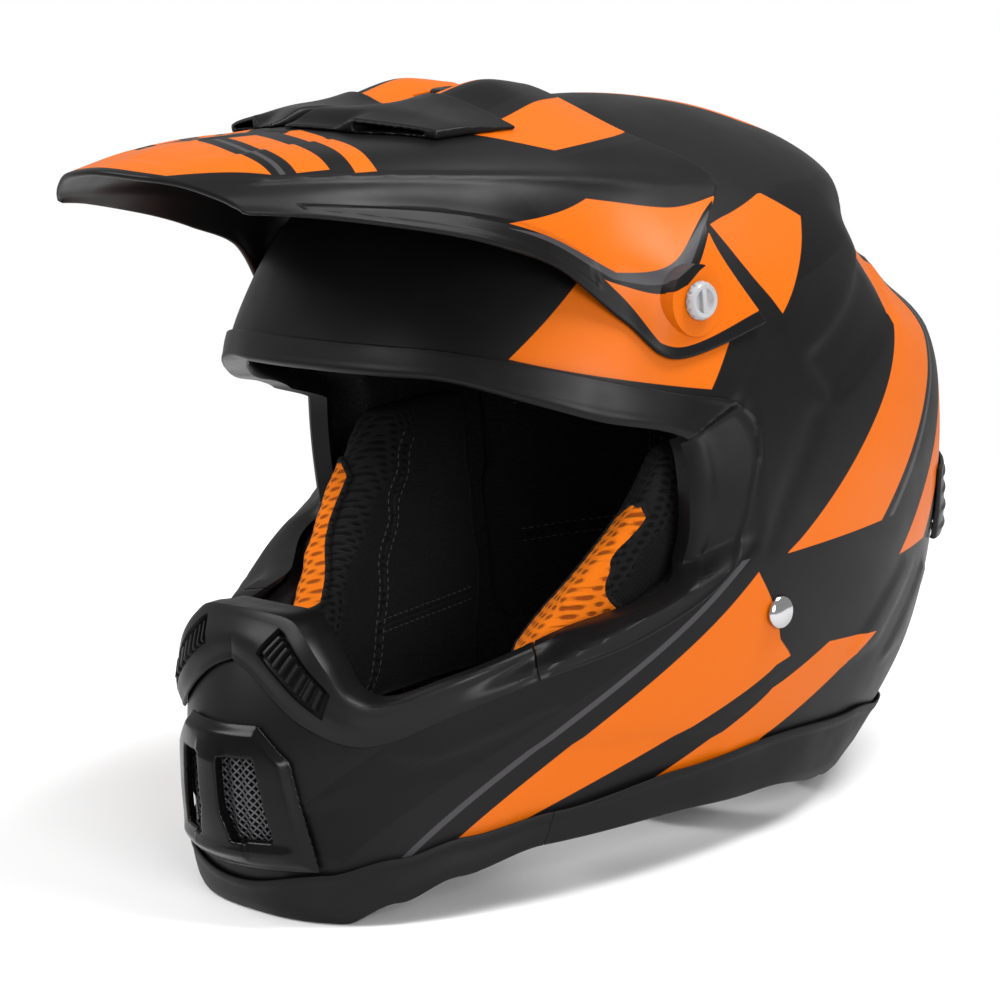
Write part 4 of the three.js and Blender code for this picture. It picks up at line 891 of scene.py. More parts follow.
def eyeport_tool(fraction, grow, count=150):
    """A plug that fills the eyeport, from well in front of the helmet to inside it."""
    angle, share = half_loop(np.linspace(0, LAST_ROW, count), fraction)
    angle, share = np.append(angle, -angle[-2:0:-1]), np.append(share, share[-2:0:-1])
    p = skin(angle, share)
    middle = 0.53 * HEIGHT
    rise = p[:, 2] - middle
    wider = 1 + grow / np.hypot(p[:, 0], rise)
    rings = [
        np.stack([p[:, 0] * r * wider, p[:, 1] * r, middle + rise * wider], -1)
        for r in (1.5, 1.03, 0.9, 0.45)
    ]
    far, near = [(0, -CHIN * 1.6, middle)] * len(p), [(0, -CHIN * 0.2, middle)] * len(p)
    return sweep("tool", [far, *rings, near])


def chin_front(x, height, out=0.0):
    place = place_of(height / HEIGHT)
    row = row_at(shell_shares, place)
    share = np.clip(np.abs(x) / (row[..., 1] * HALF), 0, 1)
    angle = np.sign(x) * np.degrees(np.arcsin(share ** (row[..., 5] / 2)))
    return skin_place(angle, place, out)


def vent_half(height, inset=0.0):
    return np.interp(height, [VENT_LOW, 63, VENT_HIGH], [38, 31, 19]) - inset


def vent_point(u, v, inset, out):
    height = mix(VENT_LOW + inset, VENT_HIGH - inset, v)
    return chin_front(mix(-1, 1, u) * vent_half(height, inset), height, out)


def patch_tool(point, out_high, out_low, columns=24, rows=20):
    u, v = field(columns, rows)
    return slab("tool", point(u, v, out_high), point(u, v, out_low), roll=0, steps=1)


def exhaust_point(side, inset):
    return lambda u, v, out: skin(
        side * mix(132 + inset * 3, 152 - inset * 3, u),
        mix(0.33 + inset * 0.012, 0.43 - inset * 0.012, v), out,
    )


# %% Outlines on the unrolled skin: degrees from the front, height in millimetres
# Each relief: how far it stands out, the width of its slope, and its corners
relief = [
    (-2.0, 3.0, [
        (93, 188), (101, 197), (119, 217), (139, 238), (156, 244), (156, 212), (139, 205), (112, 185),
        (97, 168),
    ]),
    (-1.1, 2.5, [
        (13, 38), (26, 49), (38, 56), (54, 62), (70, 58), (82, 50), (82, 30), (60, 16), (40, 8), (13, 8),
    ]),
    (1.4, 4.0, [(169, 104), (180, 100), (180, 262), (172, 258)]),
    (1.0, 2.5, [(101, 60), (112, 64), (122, 92), (116, 96)]),
    (1.0, 2.5, [(114, 52), (125, 56), (133, 84), (127, 88)]),
]
grooves = [
    ((90, 199), (82, 176)), ((26, 71), (40, 62), (56, 78)), ((86, 120), (94, 166)), ((60, 250), (92, 262)),
]
GROOVE = 0.9
# Millimetres for each degree round the shell, and for each millimetre up it
STRETCH = np.array([2.05, 1.0])
print("reliefs:", len(relief), "grooves:", len(grooves))


def groove_depth(points, line, width=3.2):
    """1 on a line with corners, falling to 0 at a width from it."""
    best = np.full(len(points), FAR)
    for a, b in zip(line, line[1:]):
        f = np.clip(((points - a) @ (b - a)) / ((b - a) @ (b - a)), 0, 1)
        best = np.minimum(best, np.linalg.norm(points - a - f[:, None] * (b - a), axis=1))
    return np.clip(1 - best / width, 0, 1)


# %% Shell
columns, rows = 288, 124
# Heights between which the reliefs fade, and above which the marks follow the crown's own sheet
CALM, CROWN_SHEET = (250, 262), 247
BORE, RIVET_HOLE = 5.3, 2.7
shell_angles = np.linspace(-180, 180, columns, endpoint=False)
profile = skin_place(90.0, places)
climbed = np.concatenate([[0], np.cumsum(np.linalg.norm(np.diff(profile, axis=0), axis=1))])


def climb(low_share, count):
    """Places evenly spaced up the skin, from some shares of its height to the crown."""
    start = np.interp(place_of(low_share), places, climbed)
    return np.interp(mix(start[:, None], climbed[-1], np.linspace(0, 1, count)[None, :]), climbed, places)


shell_places = climb(foot_share(shell_angles) + WEB + GAP / HEIGHT, rows)
angle_grid = np.repeat(shell_angles[:, None], rows, 1)
plain_skin = skin_place(angle_grid, shell_places)
flat = np.stack([wrapped(angle_grid).ravel(), plain_skin[..., 2].ravel()], -1) * STRETCH
moved = np.zeros(len(flat))
for depth, ease, shape in relief:
    moved += depth * (1 - smooth(-ease, 0, distance_to(flat, np.array(shape) * STRETCH)))
for groove in grooves:
    moved -= GROOVE * groove_depth(flat, np.array(groove) * STRETCH)
moved *= 1 - smooth(*CALM, plain_skin[..., 2].ravel())
outer = skin_place(angle_grid, shell_places, moved.reshape(columns, rows))
inner = skin_place(angle_grid, shell_places, -WALL)
on_top = plain_skin[..., 2].ravel() > CROWN_SHEET
side_sheet = np.concatenate([flat, on_top[:, None]], 1)
top_sheet = plain_skin.reshape(-1, 3) * [1, 1, 0]
top_sheet[:, 0] = np.abs(top_sheet[:, 0])
shell = slab("shell", outer, inner, closed=True, pole=True, roll=0.9)
tools = [eyeport_tool(BEAD, GAP), patch_tool(lambda u, v, out: vent_point(u, v, 7.2, out), 8, -8)]
cut(shell, *tools)
for side in (-1, 1):
    boss = bar((side * (BOSS_FACE - 2), *PIVOT), X_AXIS, BOSS, 4, 64)
    cut(shell, boss, operation="UNION")
    bore = bar((side * BOSS_FACE, *PIVOT), X_AXIS, BORE, 20)
    hole = bar((side * (HALF - 10), *RIVET), X_AXIS, RIVET_HOLE, 40)
    cut(shell, bore, hole, patch_tool(exhaust_point(side, 1), 8, -8))
both_faces = np.concatenate([outer.reshape(-1, 3), inner.reshape(-1, 3)])
carry(
    shell, both_faces, side_sheet=np.concatenate([side_sheet] * 2), top_sheet=np.concatenate([top_sheet] * 2),
    inside=np.repeat([0.0, 1.0], len(flat)),
)
place_piece(shell, "helmet", "shell_paint", shell_paint, "outer_shell")

# %% [markdown]
# ## The eyeport's gasket and the nose guard
# Both are one section led along the rim of the eyeport. The section has a raised lip at each edge
# and a dished face between them, which is deepest at the sides.

# %% Gasket and guard
FLANGE = 1.9
# Half the gap between gasket and guard, in rows of the loops
JOINT = 0.014


def rim_section(place, side, rise):
    """Closed sections of the gasket or guard at places along the loops."""
    def at(fraction, out):
        angle, share = half_loop(place, fraction)
        return skin(side * angle, share, out)

    def inwards(p, depth):
        reach = np.hypot(p[:, 0], p[:, 1])[:, None]
        return p * np.concatenate([1 - depth / reach, 1 - depth / reach, 1 + 0 * reach], 1)

    dish = 0.95 * smooth(4.5, 7, place) * (1 - smooth(10.3, 11.5, place))
    # Share of the way from the opening out to the gasket's edge, and height over the flange
    face = [
        (1, -0.75), (0.985, -0.2), (0.95, 0), (0.91, -0.05), (0.88, -0.75), (0.8, -1), (0.7, -1),
        (0.6, -1), (0.5, -1), (0.4, -0.9), (0.33, -0.45), (0.28, 0.1), (0.2, 0.25), (0.12, 0.1),
        (0.05, -0.45), (0, -1.4),
    ]
    points = []
    for fraction, lift in face:
        lower = lift * dish if -1.01 < lift < -0.4 and 0.3 < fraction < 0.9 else lift
        raised = rise * smooth(1.0, 0.6, fraction) * (1 - 0.8 * smooth(0.12, 0, fraction))
        points.append(at(fraction, FLANGE + lower + raised))
    bead = BEAD * 0.93
    points += [inwards(at(0, 0), 4), inwards(at(0, 0), 8), inwards(at(0.1, 0), 9), inwards(at(bead, 0), 9)]
    points += [inwards(at(bead, 0), -0.9), at(0.6, 0.9), at(0.97, 0.9)]
    return np.stack(points, 1)


def both_ways(places, rise=lambda p: 0 * p):
    """Sections from the left end, over the middle of the helmet, to the right end."""
    left, other = rim_section(places, 1, rise(places)), rim_section(places, -1, rise(places))
    return np.concatenate([left, other[::-1][1:]])


gasket_obj = sweep("gasket", both_ways(np.linspace(GUARD_ROW - JOINT, 0.0, 180)))
place_piece(gasket_obj, "helmet", "gasket", gasket, "eyeport_trim")


def guard_rise(place):
    return 4.5 * smooth(GUARD_ROW + 1, 16, place)


guard = sweep("nose_guard_shell", both_ways(np.linspace(GUARD_ROW + JOINT, LAST_ROW, 110), guard_rise))


def inlet_point(side, inset):
    """Places across one of the two inlets beside the middle of the guard."""
    def point(u, v, out):
        place = mix(14.6 + inset, 16.9 - inset, u)
        angle, share = half_loop(place, mix(0.3 + inset * 0.3, 0.72 - inset * 0.3, v))
        return skin(side * angle, share, out)
    return point


for side in (-1, 1):
    cut(guard, patch_tool(inlet_point(side, 0), 16, 2.2))
bevel(guard, 0.7, 2, 38)
place_piece(guard, "helmet", "guard_plastic", guard_plastic, "nose_guard")
for side, word in SIDES:
    u, v = field(90, 30)
    fins = 1.3 * np.clip(np.sin(u * math.pi * 15) * 2.2, -1, 1)
    fins *= smooth(0, 0.08, v) * smooth(1, 0.92, v)
    point = inlet_point(side, 0.18)
    inlet = slab("inlet_fins_" + word, point(u, v, 4.6 + fins), point(u, v, 2.8), roll=0.3)
    place_piece(inlet, "helmet", "black_plastic", black_plastic, "inlet_" + word)

# %% Rim trims
def trim_section(angles):
    foot, top = foot_share(angles), table_at(rim_table, wrapped(angles), 2)

    def inwards(share, amount):
        p = skin(angles, share)
        reach = np.hypot(p[:, 0], p[:, 1])[:, None]
        return np.concatenate([p[:, :2] * (1 - amount / reach), share[:, None] * HEIGHT], 1)

    web = foot + WEB
    lip = 2 / HEIGHT
    points = [
        skin(angles, top, 0.9), skin(angles, top, FLANGE), skin(angles, top - lip, FLANGE + 0.25),
        skin(angles, top - 2 * lip, FLANGE - 0.35), skin(angles, mix(web, top, 0.4), FLANGE - 0.35),
        skin(angles, web, FLANGE), inwards(foot, -1.9), inwards(foot, 14), inwards(web, 14),
        inwards(web, -0.9),
    ]
    sections = np.stack(points, 1)
    return np.array([rounded(s, 1.1, 4) for s in sections])


# The two trims meet 57 degrees from the front, with a hair's gap
front_trim = sweep("rim_trim_front", trim_section(np.linspace(-56.96, 56.96, 150)))
rear_trim = sweep("rim_trim_rear", trim_section(np.linspace(57.04, 302.96, 300)))
for trim, node_name in ((front_trim, "base_trim_front"), (rear_trim, "base_trim_rear")):
    place_piece(trim, "helmet", "trim_rubber", trim_rubber, node_name)

# %% [markdown]
# ## The chin vent
# The frame is cut out of a thick patch and then rebuilt from small cells, which rounds its edges.
# The wires behind it are lines that weave over and under each other, and a node tree turns them into
# tubes. A thin dark sheet lies behind the wires as painted shade, standing in for the shade inside the vent.

# %% Tubes and stitches by geometry nodes
def geometry_tree(name, inputs):
    tree = bpy.data.node_groups.new(name, "GeometryNodeTree")
    tree.interface.new_socket("Geometry", in_out="INPUT", socket_type="NodeSocketGeometry")
    sockets = {}
    for label, kind, value in inputs:
        socket = tree.interface.new_socket(label, in_out="INPUT", socket_type="NodeSocket" + kind)
        if value is not None:
            socket.default_value = value
        sockets[label] = socket.identifier
    tree.interface.new_socket("Geometry", in_out="OUTPUT", socket_type="NodeSocketGeometry")
    given = tree.nodes.new("NodeGroupInput").outputs
    return tree, sockets, given, tree.nodes.new("NodeGroupOutput").inputs[0]


def end_tree(tree, made, given, out):
    """End a tree as the export needs it: in plain mesh, with its finish set."""
    real = node(tree, "GeometryNodeRealizeInstances")
    finish = node(tree, "GeometryNodeSetMaterial")
    wire(
        tree, (made, real.inputs[0]), (real.outputs[0], finish.inputs["Geometry"]),
        (given["Finish"], finish.inputs["Material"]), (finish.outputs[0], out),
    )


tube_tree, tube_sockets, given, out = geometry_tree(
    "tubes", [("Radius", "Float", 0.0005), ("Sides", "Int", 8), ("Finish", "Material", None)]
)
curve = node(tube_tree, "GeometryNodeMeshToCurve")
circle = node(tube_tree, "GeometryNodeCurvePrimitiveCircle")
skin_node = node(tube_tree, "GeometryNodeCurveToMesh")
skin_node.inputs["Fill Caps"].default_value = True
wire(
    tube_tree, (given["Geometry"], curve.inputs["Mesh"]),
    (curve.outputs["Curve"], skin_node.inputs["Curve"]), (given["Sides"], circle.inputs["Resolution"]),
    (given["Radius"], circle.inputs["Radius"]),
    (circle.outputs["Curve"], skin_node.inputs["Profile Curve"]),
)
end_tree(tube_tree, skin_node.outputs["Mesh"], given, out)

stitch_tree, stitch_sockets, given, out = geometry_tree(
    "stitches",
    [
        ("Spacing", "Float", 0.004), ("Length", "Float", 0.0028), ("Radius", "Float", 0.0004),
        ("Finish", "Material", None),
    ],
)
curve = node(stitch_tree, "GeometryNodeMeshToCurve")
spots = node(stitch_tree, "GeometryNodeCurveToPoints", mode="LENGTH")
bead_mesh = node(stitch_tree, "GeometryNodeMeshUVSphere")
bead_mesh.inputs["Segments"].default_value = 8
bead_mesh.inputs["Rings"].default_value = 6
shape = node(stitch_tree, "ShaderNodeCombineXYZ")
sized = node(stitch_tree, "GeometryNodeTransform")
copies = node(stitch_tree, "GeometryNodeInstanceOnPoints")
half = maths(stitch_tree, "MULTIPLY", given["Length"], 0.5)
wire(
    stitch_tree, (given["Geometry"], curve.inputs["Mesh"]),
    (curve.outputs["Curve"], spots.inputs["Curve"]), (given["Spacing"], spots.inputs["Length"]),
    (given["Radius"], shape.inputs[0]), (given["Radius"], shape.inputs[1]), (half, shape.inputs[2]),
    (bead_mesh.outputs[0], sized.inputs["Geometry"]), (shape.outputs[0], sized.inputs["Scale"]),
    (spots.outputs["Points"], copies.inputs["Points"]), (sized.outputs[0], copies.inputs["Instance"]),
    (spots.outputs["Rotation"], copies.inputs["Rotation"]),
)
end_tree(stitch_tree, copies.outputs[0], given, out)


def along_lines(name, lines, tree, sockets, material, closed=False, **values):
    """Grow a tree's tubes or stitches along polylines given in millimetres."""
    points, edges = [], []
    for path in lines:
        start = len(points)
        points += [tuple(p) for p in np.asarray(path) * MM]
        edges += [(start + k, start + k + 1) for k in range(len(path) - 1)]
        if closed:
            edges.append((len(points) - 1, start))
    mesh = bpy.data.meshes.new(name)
    mesh.from_pydata(points, edges, [])
    obj = link(bpy.data.objects.new(name, mesh))
    grow = obj.modifiers.new("grow", "NODES")
    grow.node_group = tree
    for label, value in values.items():
        grow[sockets[label]] = value
    grow[sockets["Finish"]] = material
    apply(obj)
    obj.data.shade_smooth()
    return obj


print("node trees:", tube_tree.name, stitch_tree.name)

# %% Vent frame and wires
u, v = field(110, 76)
height = mix(VENT_LOW, VENT_HIGH, v)
x = mix(-1, 1, u) * vent_half(height)
to_side = np.minimum(u, 1 - u) * 2 * vent_half(height)
edge = np.minimum(to_side, np.minimum(v, 1 - v) * (VENT_HIGH - VENT_LOW))
lift = 4.2 - 2.4 * (1 - smooth(0, 4.5, edge))
lift += 1.3 * np.exp(-((height - 28.5) / 2.6) ** 2) * smooth(34, 26, np.abs(x))
brow = mix(6, 13, smooth(52, 30, height))
beak = smooth(brow + 1.5, brow, np.abs(x))
lift += 1.6 * beak * smooth(70, 62, height) * smooth(24, 30, height)
frame_obj = slab("vent_frame", vent_point(u, v, 0, lift), vent_point(u, v, 0, 0.9), roll=0.6)


def window_point(side):
    """Places across one of the vent's two windows."""
    def point(u, v, out):
        height = mix(33, 64, v)
        inner_edge = mix(4.6, 7.5, smooth(46, 34, height))
        across = mix(inner_edge, vent_half(height, 12), u if side > 0 else 1 - u)
        return chin_front(side * across, height, out)
    return point


for side in (-1, 1):
    cut(frame_obj, patch_tool(window_point(side), 16, -8))
soften(frame_obj, 0.62, 5)
place_piece(frame_obj, "helmet", "vent_plastic", vent_plastic, "chin_vent_frame")

lines = []
pitch = 3.1
for slope in (-1, 1):
    for k in range(-40, 41):
        height = np.arange(28.4, 68.7, pitch / 4)
        x = k * pitch + slope * (height - VENT_LOW)
        keep = np.abs(x) < vent_half(height, 7.6)
        wave = 0.42 * slope * np.sin(math.pi * (height - VENT_LOW) / pitch + k * math.pi)
        runs = np.split(np.arange(len(height)), np.where(np.diff(keep.astype(int)) != 0)[0] + 1)
        for run in runs:
            if keep[run[0]] and len(run) > 3:
                lines.append(chin_front(x[run], height[run], -0.95 + wave[run]))
wires = along_lines("vent_wires", lines, tube_tree, tube_sockets, wire_mesh, Radius=0.00045, Sides=6)
place_piece(wires, "helmet", "wire_mesh", None, "chin_vent_mesh")
print("wires:", len(lines))
# Painted shade: a dark sheet behind the wires stands in for the shade inside the vent
u, v = field(60, 44)
height = mix(28.6, 68.4, v)
flat = mix(-1, 1, u) * vent_half(height, 7.9)
shade_sheet = slab("vent_shade_sheet", chin_front(flat, height, -2.2), chin_front(flat, height, -2.7), roll=0.3)
place_piece(shade_sheet, "helmet", "wire_mesh", vent_shade_cloth)

# %% [markdown]
# ## The visor
# Six rails run from the front of the peak to its back edge, from the middle to the side. A smooth
# surface goes through them, and a thin wall hangs under it. A low ridge, a stepped wing and a shallow
# channel down the middle shape the sheet, as on a moulded peak.

# %% Visor rails and surface
# Each rail's points: aside, back and up, as shares of the half width, the chin's reach and the height
half_rails = np.array(
    [
        [
            [0, -1.115, 0.998], [0, -0.984, 1.012], [0, -0.857, 1.017], [0, -0.731, 1.015],
            [0, -0.604, 1.013], [0, -0.478, 1.013], [0, -0.352, 1.015], [0, -0.231, 1.018],
            [0, -0.11, 1.018],
        ],
        [
            [0.143, -1.099, 0.993], [0.167, -0.973, 1.005], [0.19, -0.846, 1.01], [0.214, -0.72, 1.008],
            [0.222, -0.593, 1.004], [0.222, -0.467, 1.014], [0.206, -0.341, 1.032],
            [0.206, -0.22, 1.044], [0.19, -0.099, 1.03],
        ],
        [
            [0.27, -1.066, 0.984], [0.333, -0.945, 0.989], [0.389, -0.824, 0.991],
            [0.437, -0.703, 0.991], [0.476, -0.577, 0.989], [0.5, -0.451, 0.988],
            [0.516, -0.319, 0.984], [0.516, -0.187, 0.979], [0.492, -0.055, 0.972],
        ],
        [
            [0.373, -1.033, 0.967], [0.452, -0.923, 0.963], [0.524, -0.808, 0.958],
            [0.587, -0.681, 0.951], [0.635, -0.549, 0.942], [0.675, -0.407, 0.933],
            [0.698, -0.258, 0.923], [0.714, -0.099, 0.912], [0.722, 0.055, 0.902],
        ],
        [
            [0.421, -1.016, 0.954], [0.508, -0.907, 0.946], [0.587, -0.78, 0.933],
            [0.651, -0.654, 0.918], [0.706, -0.538, 0.898], [0.746, -0.418, 0.87],
            [0.81, -0.297, 0.828], [0.917, -0.187, 0.8], [0.881, -0.071, 0.839],
        ],
        [
            [0.444, -1.005, 0.944], [0.548, -0.89, 0.932], [0.635, -0.769, 0.914],
            [0.698, -0.643, 0.891], [0.738, -0.533, 0.865], [0.754, -0.407, 0.825],
            [0.841, -0.302, 0.751], [0.937, -0.22, 0.696], [0.98, 0.005, 0.719],
        ],
    ]
) * [HALF, CHIN, HEIGHT]
rails = np.concatenate([half_rails[:0:-1] * [-1, 1, 1], half_rails])


def visor_plain(along, across):
    shape = np.broadcast_shapes(np.shape(along), np.shape(across))
    s, t = np.broadcast_to(along, shape).ravel(), np.broadcast_to(across, shape).ravel()
    rows_there = np.stack([row_at(rail, s * 8) for rail in rails])
    place = (t + 1) * 5
    i = np.clip(np.floor(place).astype(int), 0, 9)
    f = (place - i)[:, None]
    near = (rows_there[np.clip(i + k, 0, 10), np.arange(len(s))] for k in (-1, 0, 1, 2))
    return through(*near, f).reshape(*shape, 3)


def visor_at(along, across, out=0.0):
    """A place on the visor: along from 0 in front to 1 at the back, across from -1 to 1."""
    step = 0.01
    ahead = visor_plain(np.maximum(0, along - step), across)
    behind = visor_plain(np.minimum(1, along + step), across)
    nearer = visor_plain(along, np.maximum(-1, across - step))
    farther = visor_plain(along, np.minimum(1, across + step))
    normal = unit(np.cross(farther - nearer, behind - ahead))
    return visor_plain(along, across) + normal * np.asarray(out, float)[..., None]


print("middle of the visor's front edge", np.round(visor_at(0.0, 0.0), 1))

# %% Visor
EAR_FACE = BOSS_FACE + 1.7
HEAD_FACE = EAR_FACE + 2.9
# How far the collar round the screw stands out of the ear and how deep it is, and the screws' holes
EAR_RISE, COLLAR, HOLE = 2.6, 11.6, 3.3
# Degrees that the visor tips backwards and forwards
TILT_UP, TILT_DOWN = 3, 5
s, t = field(150, 170)
t = 2 * t - 1
flat = np.stack([s.ravel() * 210, np.abs(t).ravel() * 120], -1)
# The ridge is drawn on the sheet with its length divided as the shell's sheet is
ridge = 0.9 * groove_depth(flat / STRETCH, np.array([(12, 62), (120, 80), (196, 84)]), 3.5)
wing = [(24, 96), (120, 94), (150, 100), (150, 112), (60, 112), (24, 108)]
step_down = -0.9 * (1 - smooth(-2.5, 0, distance_to(flat, wing)))
channel = [(14, -1), (14, 22), (40, 34), (88, 30), (88, -1)]
valley_side = -0.8 * (1 - smooth(-3, 0, distance_to(flat, channel)))
lift = (ridge + step_down + valley_side).reshape(s.shape)
visor_grid, visor_under = visor_at(s, t, lift), visor_at(s, t, -2.4)
visor_obj = slab("visor_peak", visor_grid, visor_under, roll=1.0, steps=6)


def tipped(points, degrees):
    """Points turned about the side screws; the visor tips forwards by positive degrees."""
    turn = math.radians(degrees)
    y, z = points[..., 1] - PIVOT[0], points[..., 2] - PIVOT[1]
    y, z = y * math.cos(turn) - z * math.sin(turn), y * math.sin(turn) + z * math.cos(turn)
    return np.stack([points[..., 0], PIVOT[0] + y, PIVOT[1] + z], -1)


few_angles, few_places = angle_grid[::3, ::3], shell_places[::3, ::3]


def room_in_shell(out, depth, move=lambda points: points):
    """A closed block with the shell's own outside, lifted off it by out, to cut other pieces with."""
    grids = [move(skin_place(few_angles, few_places, lift)) for lift in (out, depth)]
    return slab("tool", *grids, closed=True, pole=True, roll=0)


# Tipped backwards by the whole forward tilt, so that the visor clears the shell when it is down
cut(visor_obj, room_in_shell(0.8, -12, lambda points: tipped(points, -TILT_DOWN)))
for side in (-1, 1):
    collar_middle = (side * (EAR_FACE + EAR_RISE - COLLAR / 2), *PIVOT)
    collar = bar(collar_middle, X_AXIS, BOSS + 3.2, COLLAR, 72)
    cut(collar, room_in_shell(1.4, -12))
    cut(visor_obj, collar, operation="UNION")
    cut(
        visor_obj, bar((side * (EAR_FACE - 8), *PIVOT), X_AXIS, BOSS + 0.6, 16, 64),
        bar((side * (EAR_FACE + EAR_RISE + 4), *PIVOT), X_AXIS, BOSS - 0.3, 8, 64),
        bar((side * EAR_FACE, *PIVOT), X_AXIS, HOLE, 30, 32),
    )
SCREW_BACK, SEAT = PIVOT[0] - 6, 291.0
travel = [(290 - PIVOT[1]) * math.sin(math.radians(a)) for a in (TILT_UP, TILT_DOWN)]


def slot_box(reach, half, low, high):
    """A block as long as the middle screw's travel in the visor, and a reach more at each end."""
    return block((-half, SCREW_BACK - travel[0] - reach, low), (half, SCREW_BACK + travel[1] + reach, high))


cut(visor_obj, slot_box(7.3, 8.5, 287.6, SEAT), operation="UNION")
cut(visor_obj, slot_box(7.5, 8.5, SEAT, SEAT + 8), slot_box(HOLE, HOLE, SEAT - 8, SEAT + 8))
visor_sheet = np.concatenate([flat, 0 * flat[:, :1]], 1)
carry(
    visor_obj, np.concatenate([visor_grid.reshape(-1, 3), visor_under.reshape(-1, 3)]),
    side_sheet=np.concatenate([visor_sheet] * 2), inside=np.repeat([0.0, 1.0], len(flat)),
)
place_piece(visor_obj, "visor_unit", "visor_plastic", visor_plastic, "visor")

# %% [markdown]
# ## Hoods, vents and fixings
# The hoods on the peak and the exhausts at the back are patches of the same surfaces. Screws and
# rivets are turned profiles, with flutes round the screw's head and a bar to grip it.

# %% Hoods on the visor
def hood(side):
    """One of the visor's two air hoods, with its mouth cut and its edges rounded."""
    def point(u, v, out):
        return visor_at(mix(mix(0.44, 0.55, v), 0.74, u), side * mix(0.03, 0.38, v), out)

    def rise(u, v):
        edge = 1 - 0.55 * smooth(0.3, 1, v)
        front = mix(smooth(0, 0.3, u), 1, smooth(0.35, 0.5, v))
        return 1.7 + 4.4 * edge * front * (1 - smooth(0.3, 1, u))

    u, v = field(90, 90)
    body = slab("hood", point(u, v, rise(u, v)), point(u, v, -1.2), roll=0.4)
    keep_s, keep_t = field(60, 60)
    keep_t = 2 * keep_t - 1
    cut(body, slab("tool", visor_at(keep_s, keep_t, 0.3), visor_at(keep_s, keep_t, -6), roll=0, steps=1))
    mu, mv = field(24, 24)
    high = rise(mix(0, 0.4, mu), mix(0.5, 0.95, mv)) - 1.5
    mouth = [point(mix(-0.1, 0.4, mu), mix(0.5, 0.95, mv), out) for out in (high, 0 * high + 1.0)]
    cut(body, slab("tool", *mouth, roll=0, steps=1))
    return soften(body, 0.55, 4)


for side, word in SIDES:
    obj = hood(side)
    obj.name = "visor_hood_" + word + "_shell"
    place_piece(obj, "visor_unit", "visor_plastic", hood_plastic, "visor_hood_" + word)

# %% Exhaust hoods
for side, word in SIDES:
    u, v = field(80, 80)
    rise = 2.4 * np.sin(math.pi * u) ** 0.5 * (1 - smooth(0, 1, v))
    louvre = 0.9 * np.clip(1 - np.abs((v * 4) % 1 - 0.5) * 4, 0, 1) * smooth(0, 0.16, u) * smooth(1, 0.84, u)
    point = exhaust_point(side, 0)
    body = slab("exhaust_" + word, point(u, v, 2.3 + rise + louvre), point(u, v, 0.3 + rise), roll=0.6)
    soften(body, 0.55, 3)
    place_piece(body, "helmet", "black_plastic", black_plastic, "exhaust_hood_" + word)

# %% Screws, washers and inserts
SCREW, HEAD_HIGH, WASHER_HIGH = 7.2, 3.4, 1.1


def fluted(turns, radius, along):
    return -0.45 * np.clip(np.cos(turns * 14), 0, 1) if radius > 6.9 and 0.3 < along < 3 else 0 * turns


def knurled(turns, radius, along):
    return 0.18 * np.cos(turns * 30) - 0.18 if radius == 5 else 0 * turns


def thread_rows(first, turns_of_thread):
    """Radius and place of a fine thread's crests and valleys."""
    return [(2.45 + 0.35 * (k % 2), first + k * 0.45) for k in range(turns_of_thread)]


for side, word in SIDES:
    axis = (side, 0, 0)
    profile = [
        (0.01, 0), (6.6, 0), (7.0, 0.25), (SCREW, 0.6), (SCREW, 1.7), (6.9, 2.3), (6.4, 3.1),
        (6.1, HEAD_HIGH), (4.9, HEAD_HIGH), (4.5, 3.2), (3.9, 1.9), (3.5, 1.55), (0.01, 1.5),
    ]
    head = turned("side_screw_head_" + word, profile, (side * HEAD_FACE, *PIVOT), axis, 168, fluted, 40)
    near, far = sorted((side * HEAD_FACE, side * (HEAD_FACE + 3.3)))
    grip_low, grip_high = (near, PIVOT[0] - 1.15, PIVOT[1] - 4.6), (far, PIVOT[0] + 1.15, PIVOT[1] + 4.6)
    grip = bevel(block(grip_low, grip_high), 0.4)
    start = BOSS_FACE - 10
    thread = [
        (0.01, 0), (2.3, 0), *thread_rows(0.4, 20), (2.6, 10.2),
        (2.6, HEAD_FACE + 1 - start), (0.01, HEAD_FACE + 1 - start),
    ]
    shank = turned("shank", thread, (side * start, *PIVOT), axis, 32)
    cut(head, grip, shank, operation="UNION")
    place_piece(head, word + "_screw", "screw_metal", screw_metal, "side_screw_" + word)
    ring = [(HOLE, 0), (8.3, 0), (8.6, 0.3), (8.6, 0.8), (8.3, WASHER_HIGH), (HOLE, WASHER_HIGH)]
    washer = turned("washer_" + word, ring, (side * (BOSS_FACE + 0.3), *PIVOT), axis, 64)
    nut = [(HOLE, 0), (4.7, 0), (5, 0.4), (5, 11.6), (4.7, 12), (HOLE, 12)]
    insert_foot = (side * (BOSS_FACE - 12), *PIVOT)
    insert = turned("insert_" + word, nut, insert_foot, axis, 60, knurled, 30)
    for obj, slot, material, name in (
        (washer, "washer_rubber", washer_rubber, "side_washer_"),
        (insert, "brass_insert", brass_insert, "side_insert_"),
    ):
        place_piece(obj, "helmet", slot, material, name + word)

# %% Middle fixing
centre = (0, SCREW_BACK, 0)
tube = [(HOLE, 255), (7, 255), (7, 285.6), (6.6, 286.1), (HOLE, 286.1)]
post = turned("centre_post", tube, centre, Z_AXIS, 64)
cut(post, room_in_shell(0.45, -20))
place_piece(post, "helmet", "black_plastic", black_plastic, "centre_mount")
UNDER = SEAT + 0.9
profile = [
    (0.01, 278.1), (2.3, 278.1), *thread_rows(278.6, 16),
    (2.8, 286), (2.8, UNDER), (6.9, UNDER), (7.2, UNDER + 0.4), (7.1, UNDER + 1.4), (6.3, UNDER + 2.1),
    (3, UNDER + 2.38), (0.01, UNDER + 2.38),
]


def gripped(turns, radius, along):
    return -0.3 * np.clip(np.cos(turns * 16), 0, 1) if radius > 6.5 else 0 * turns


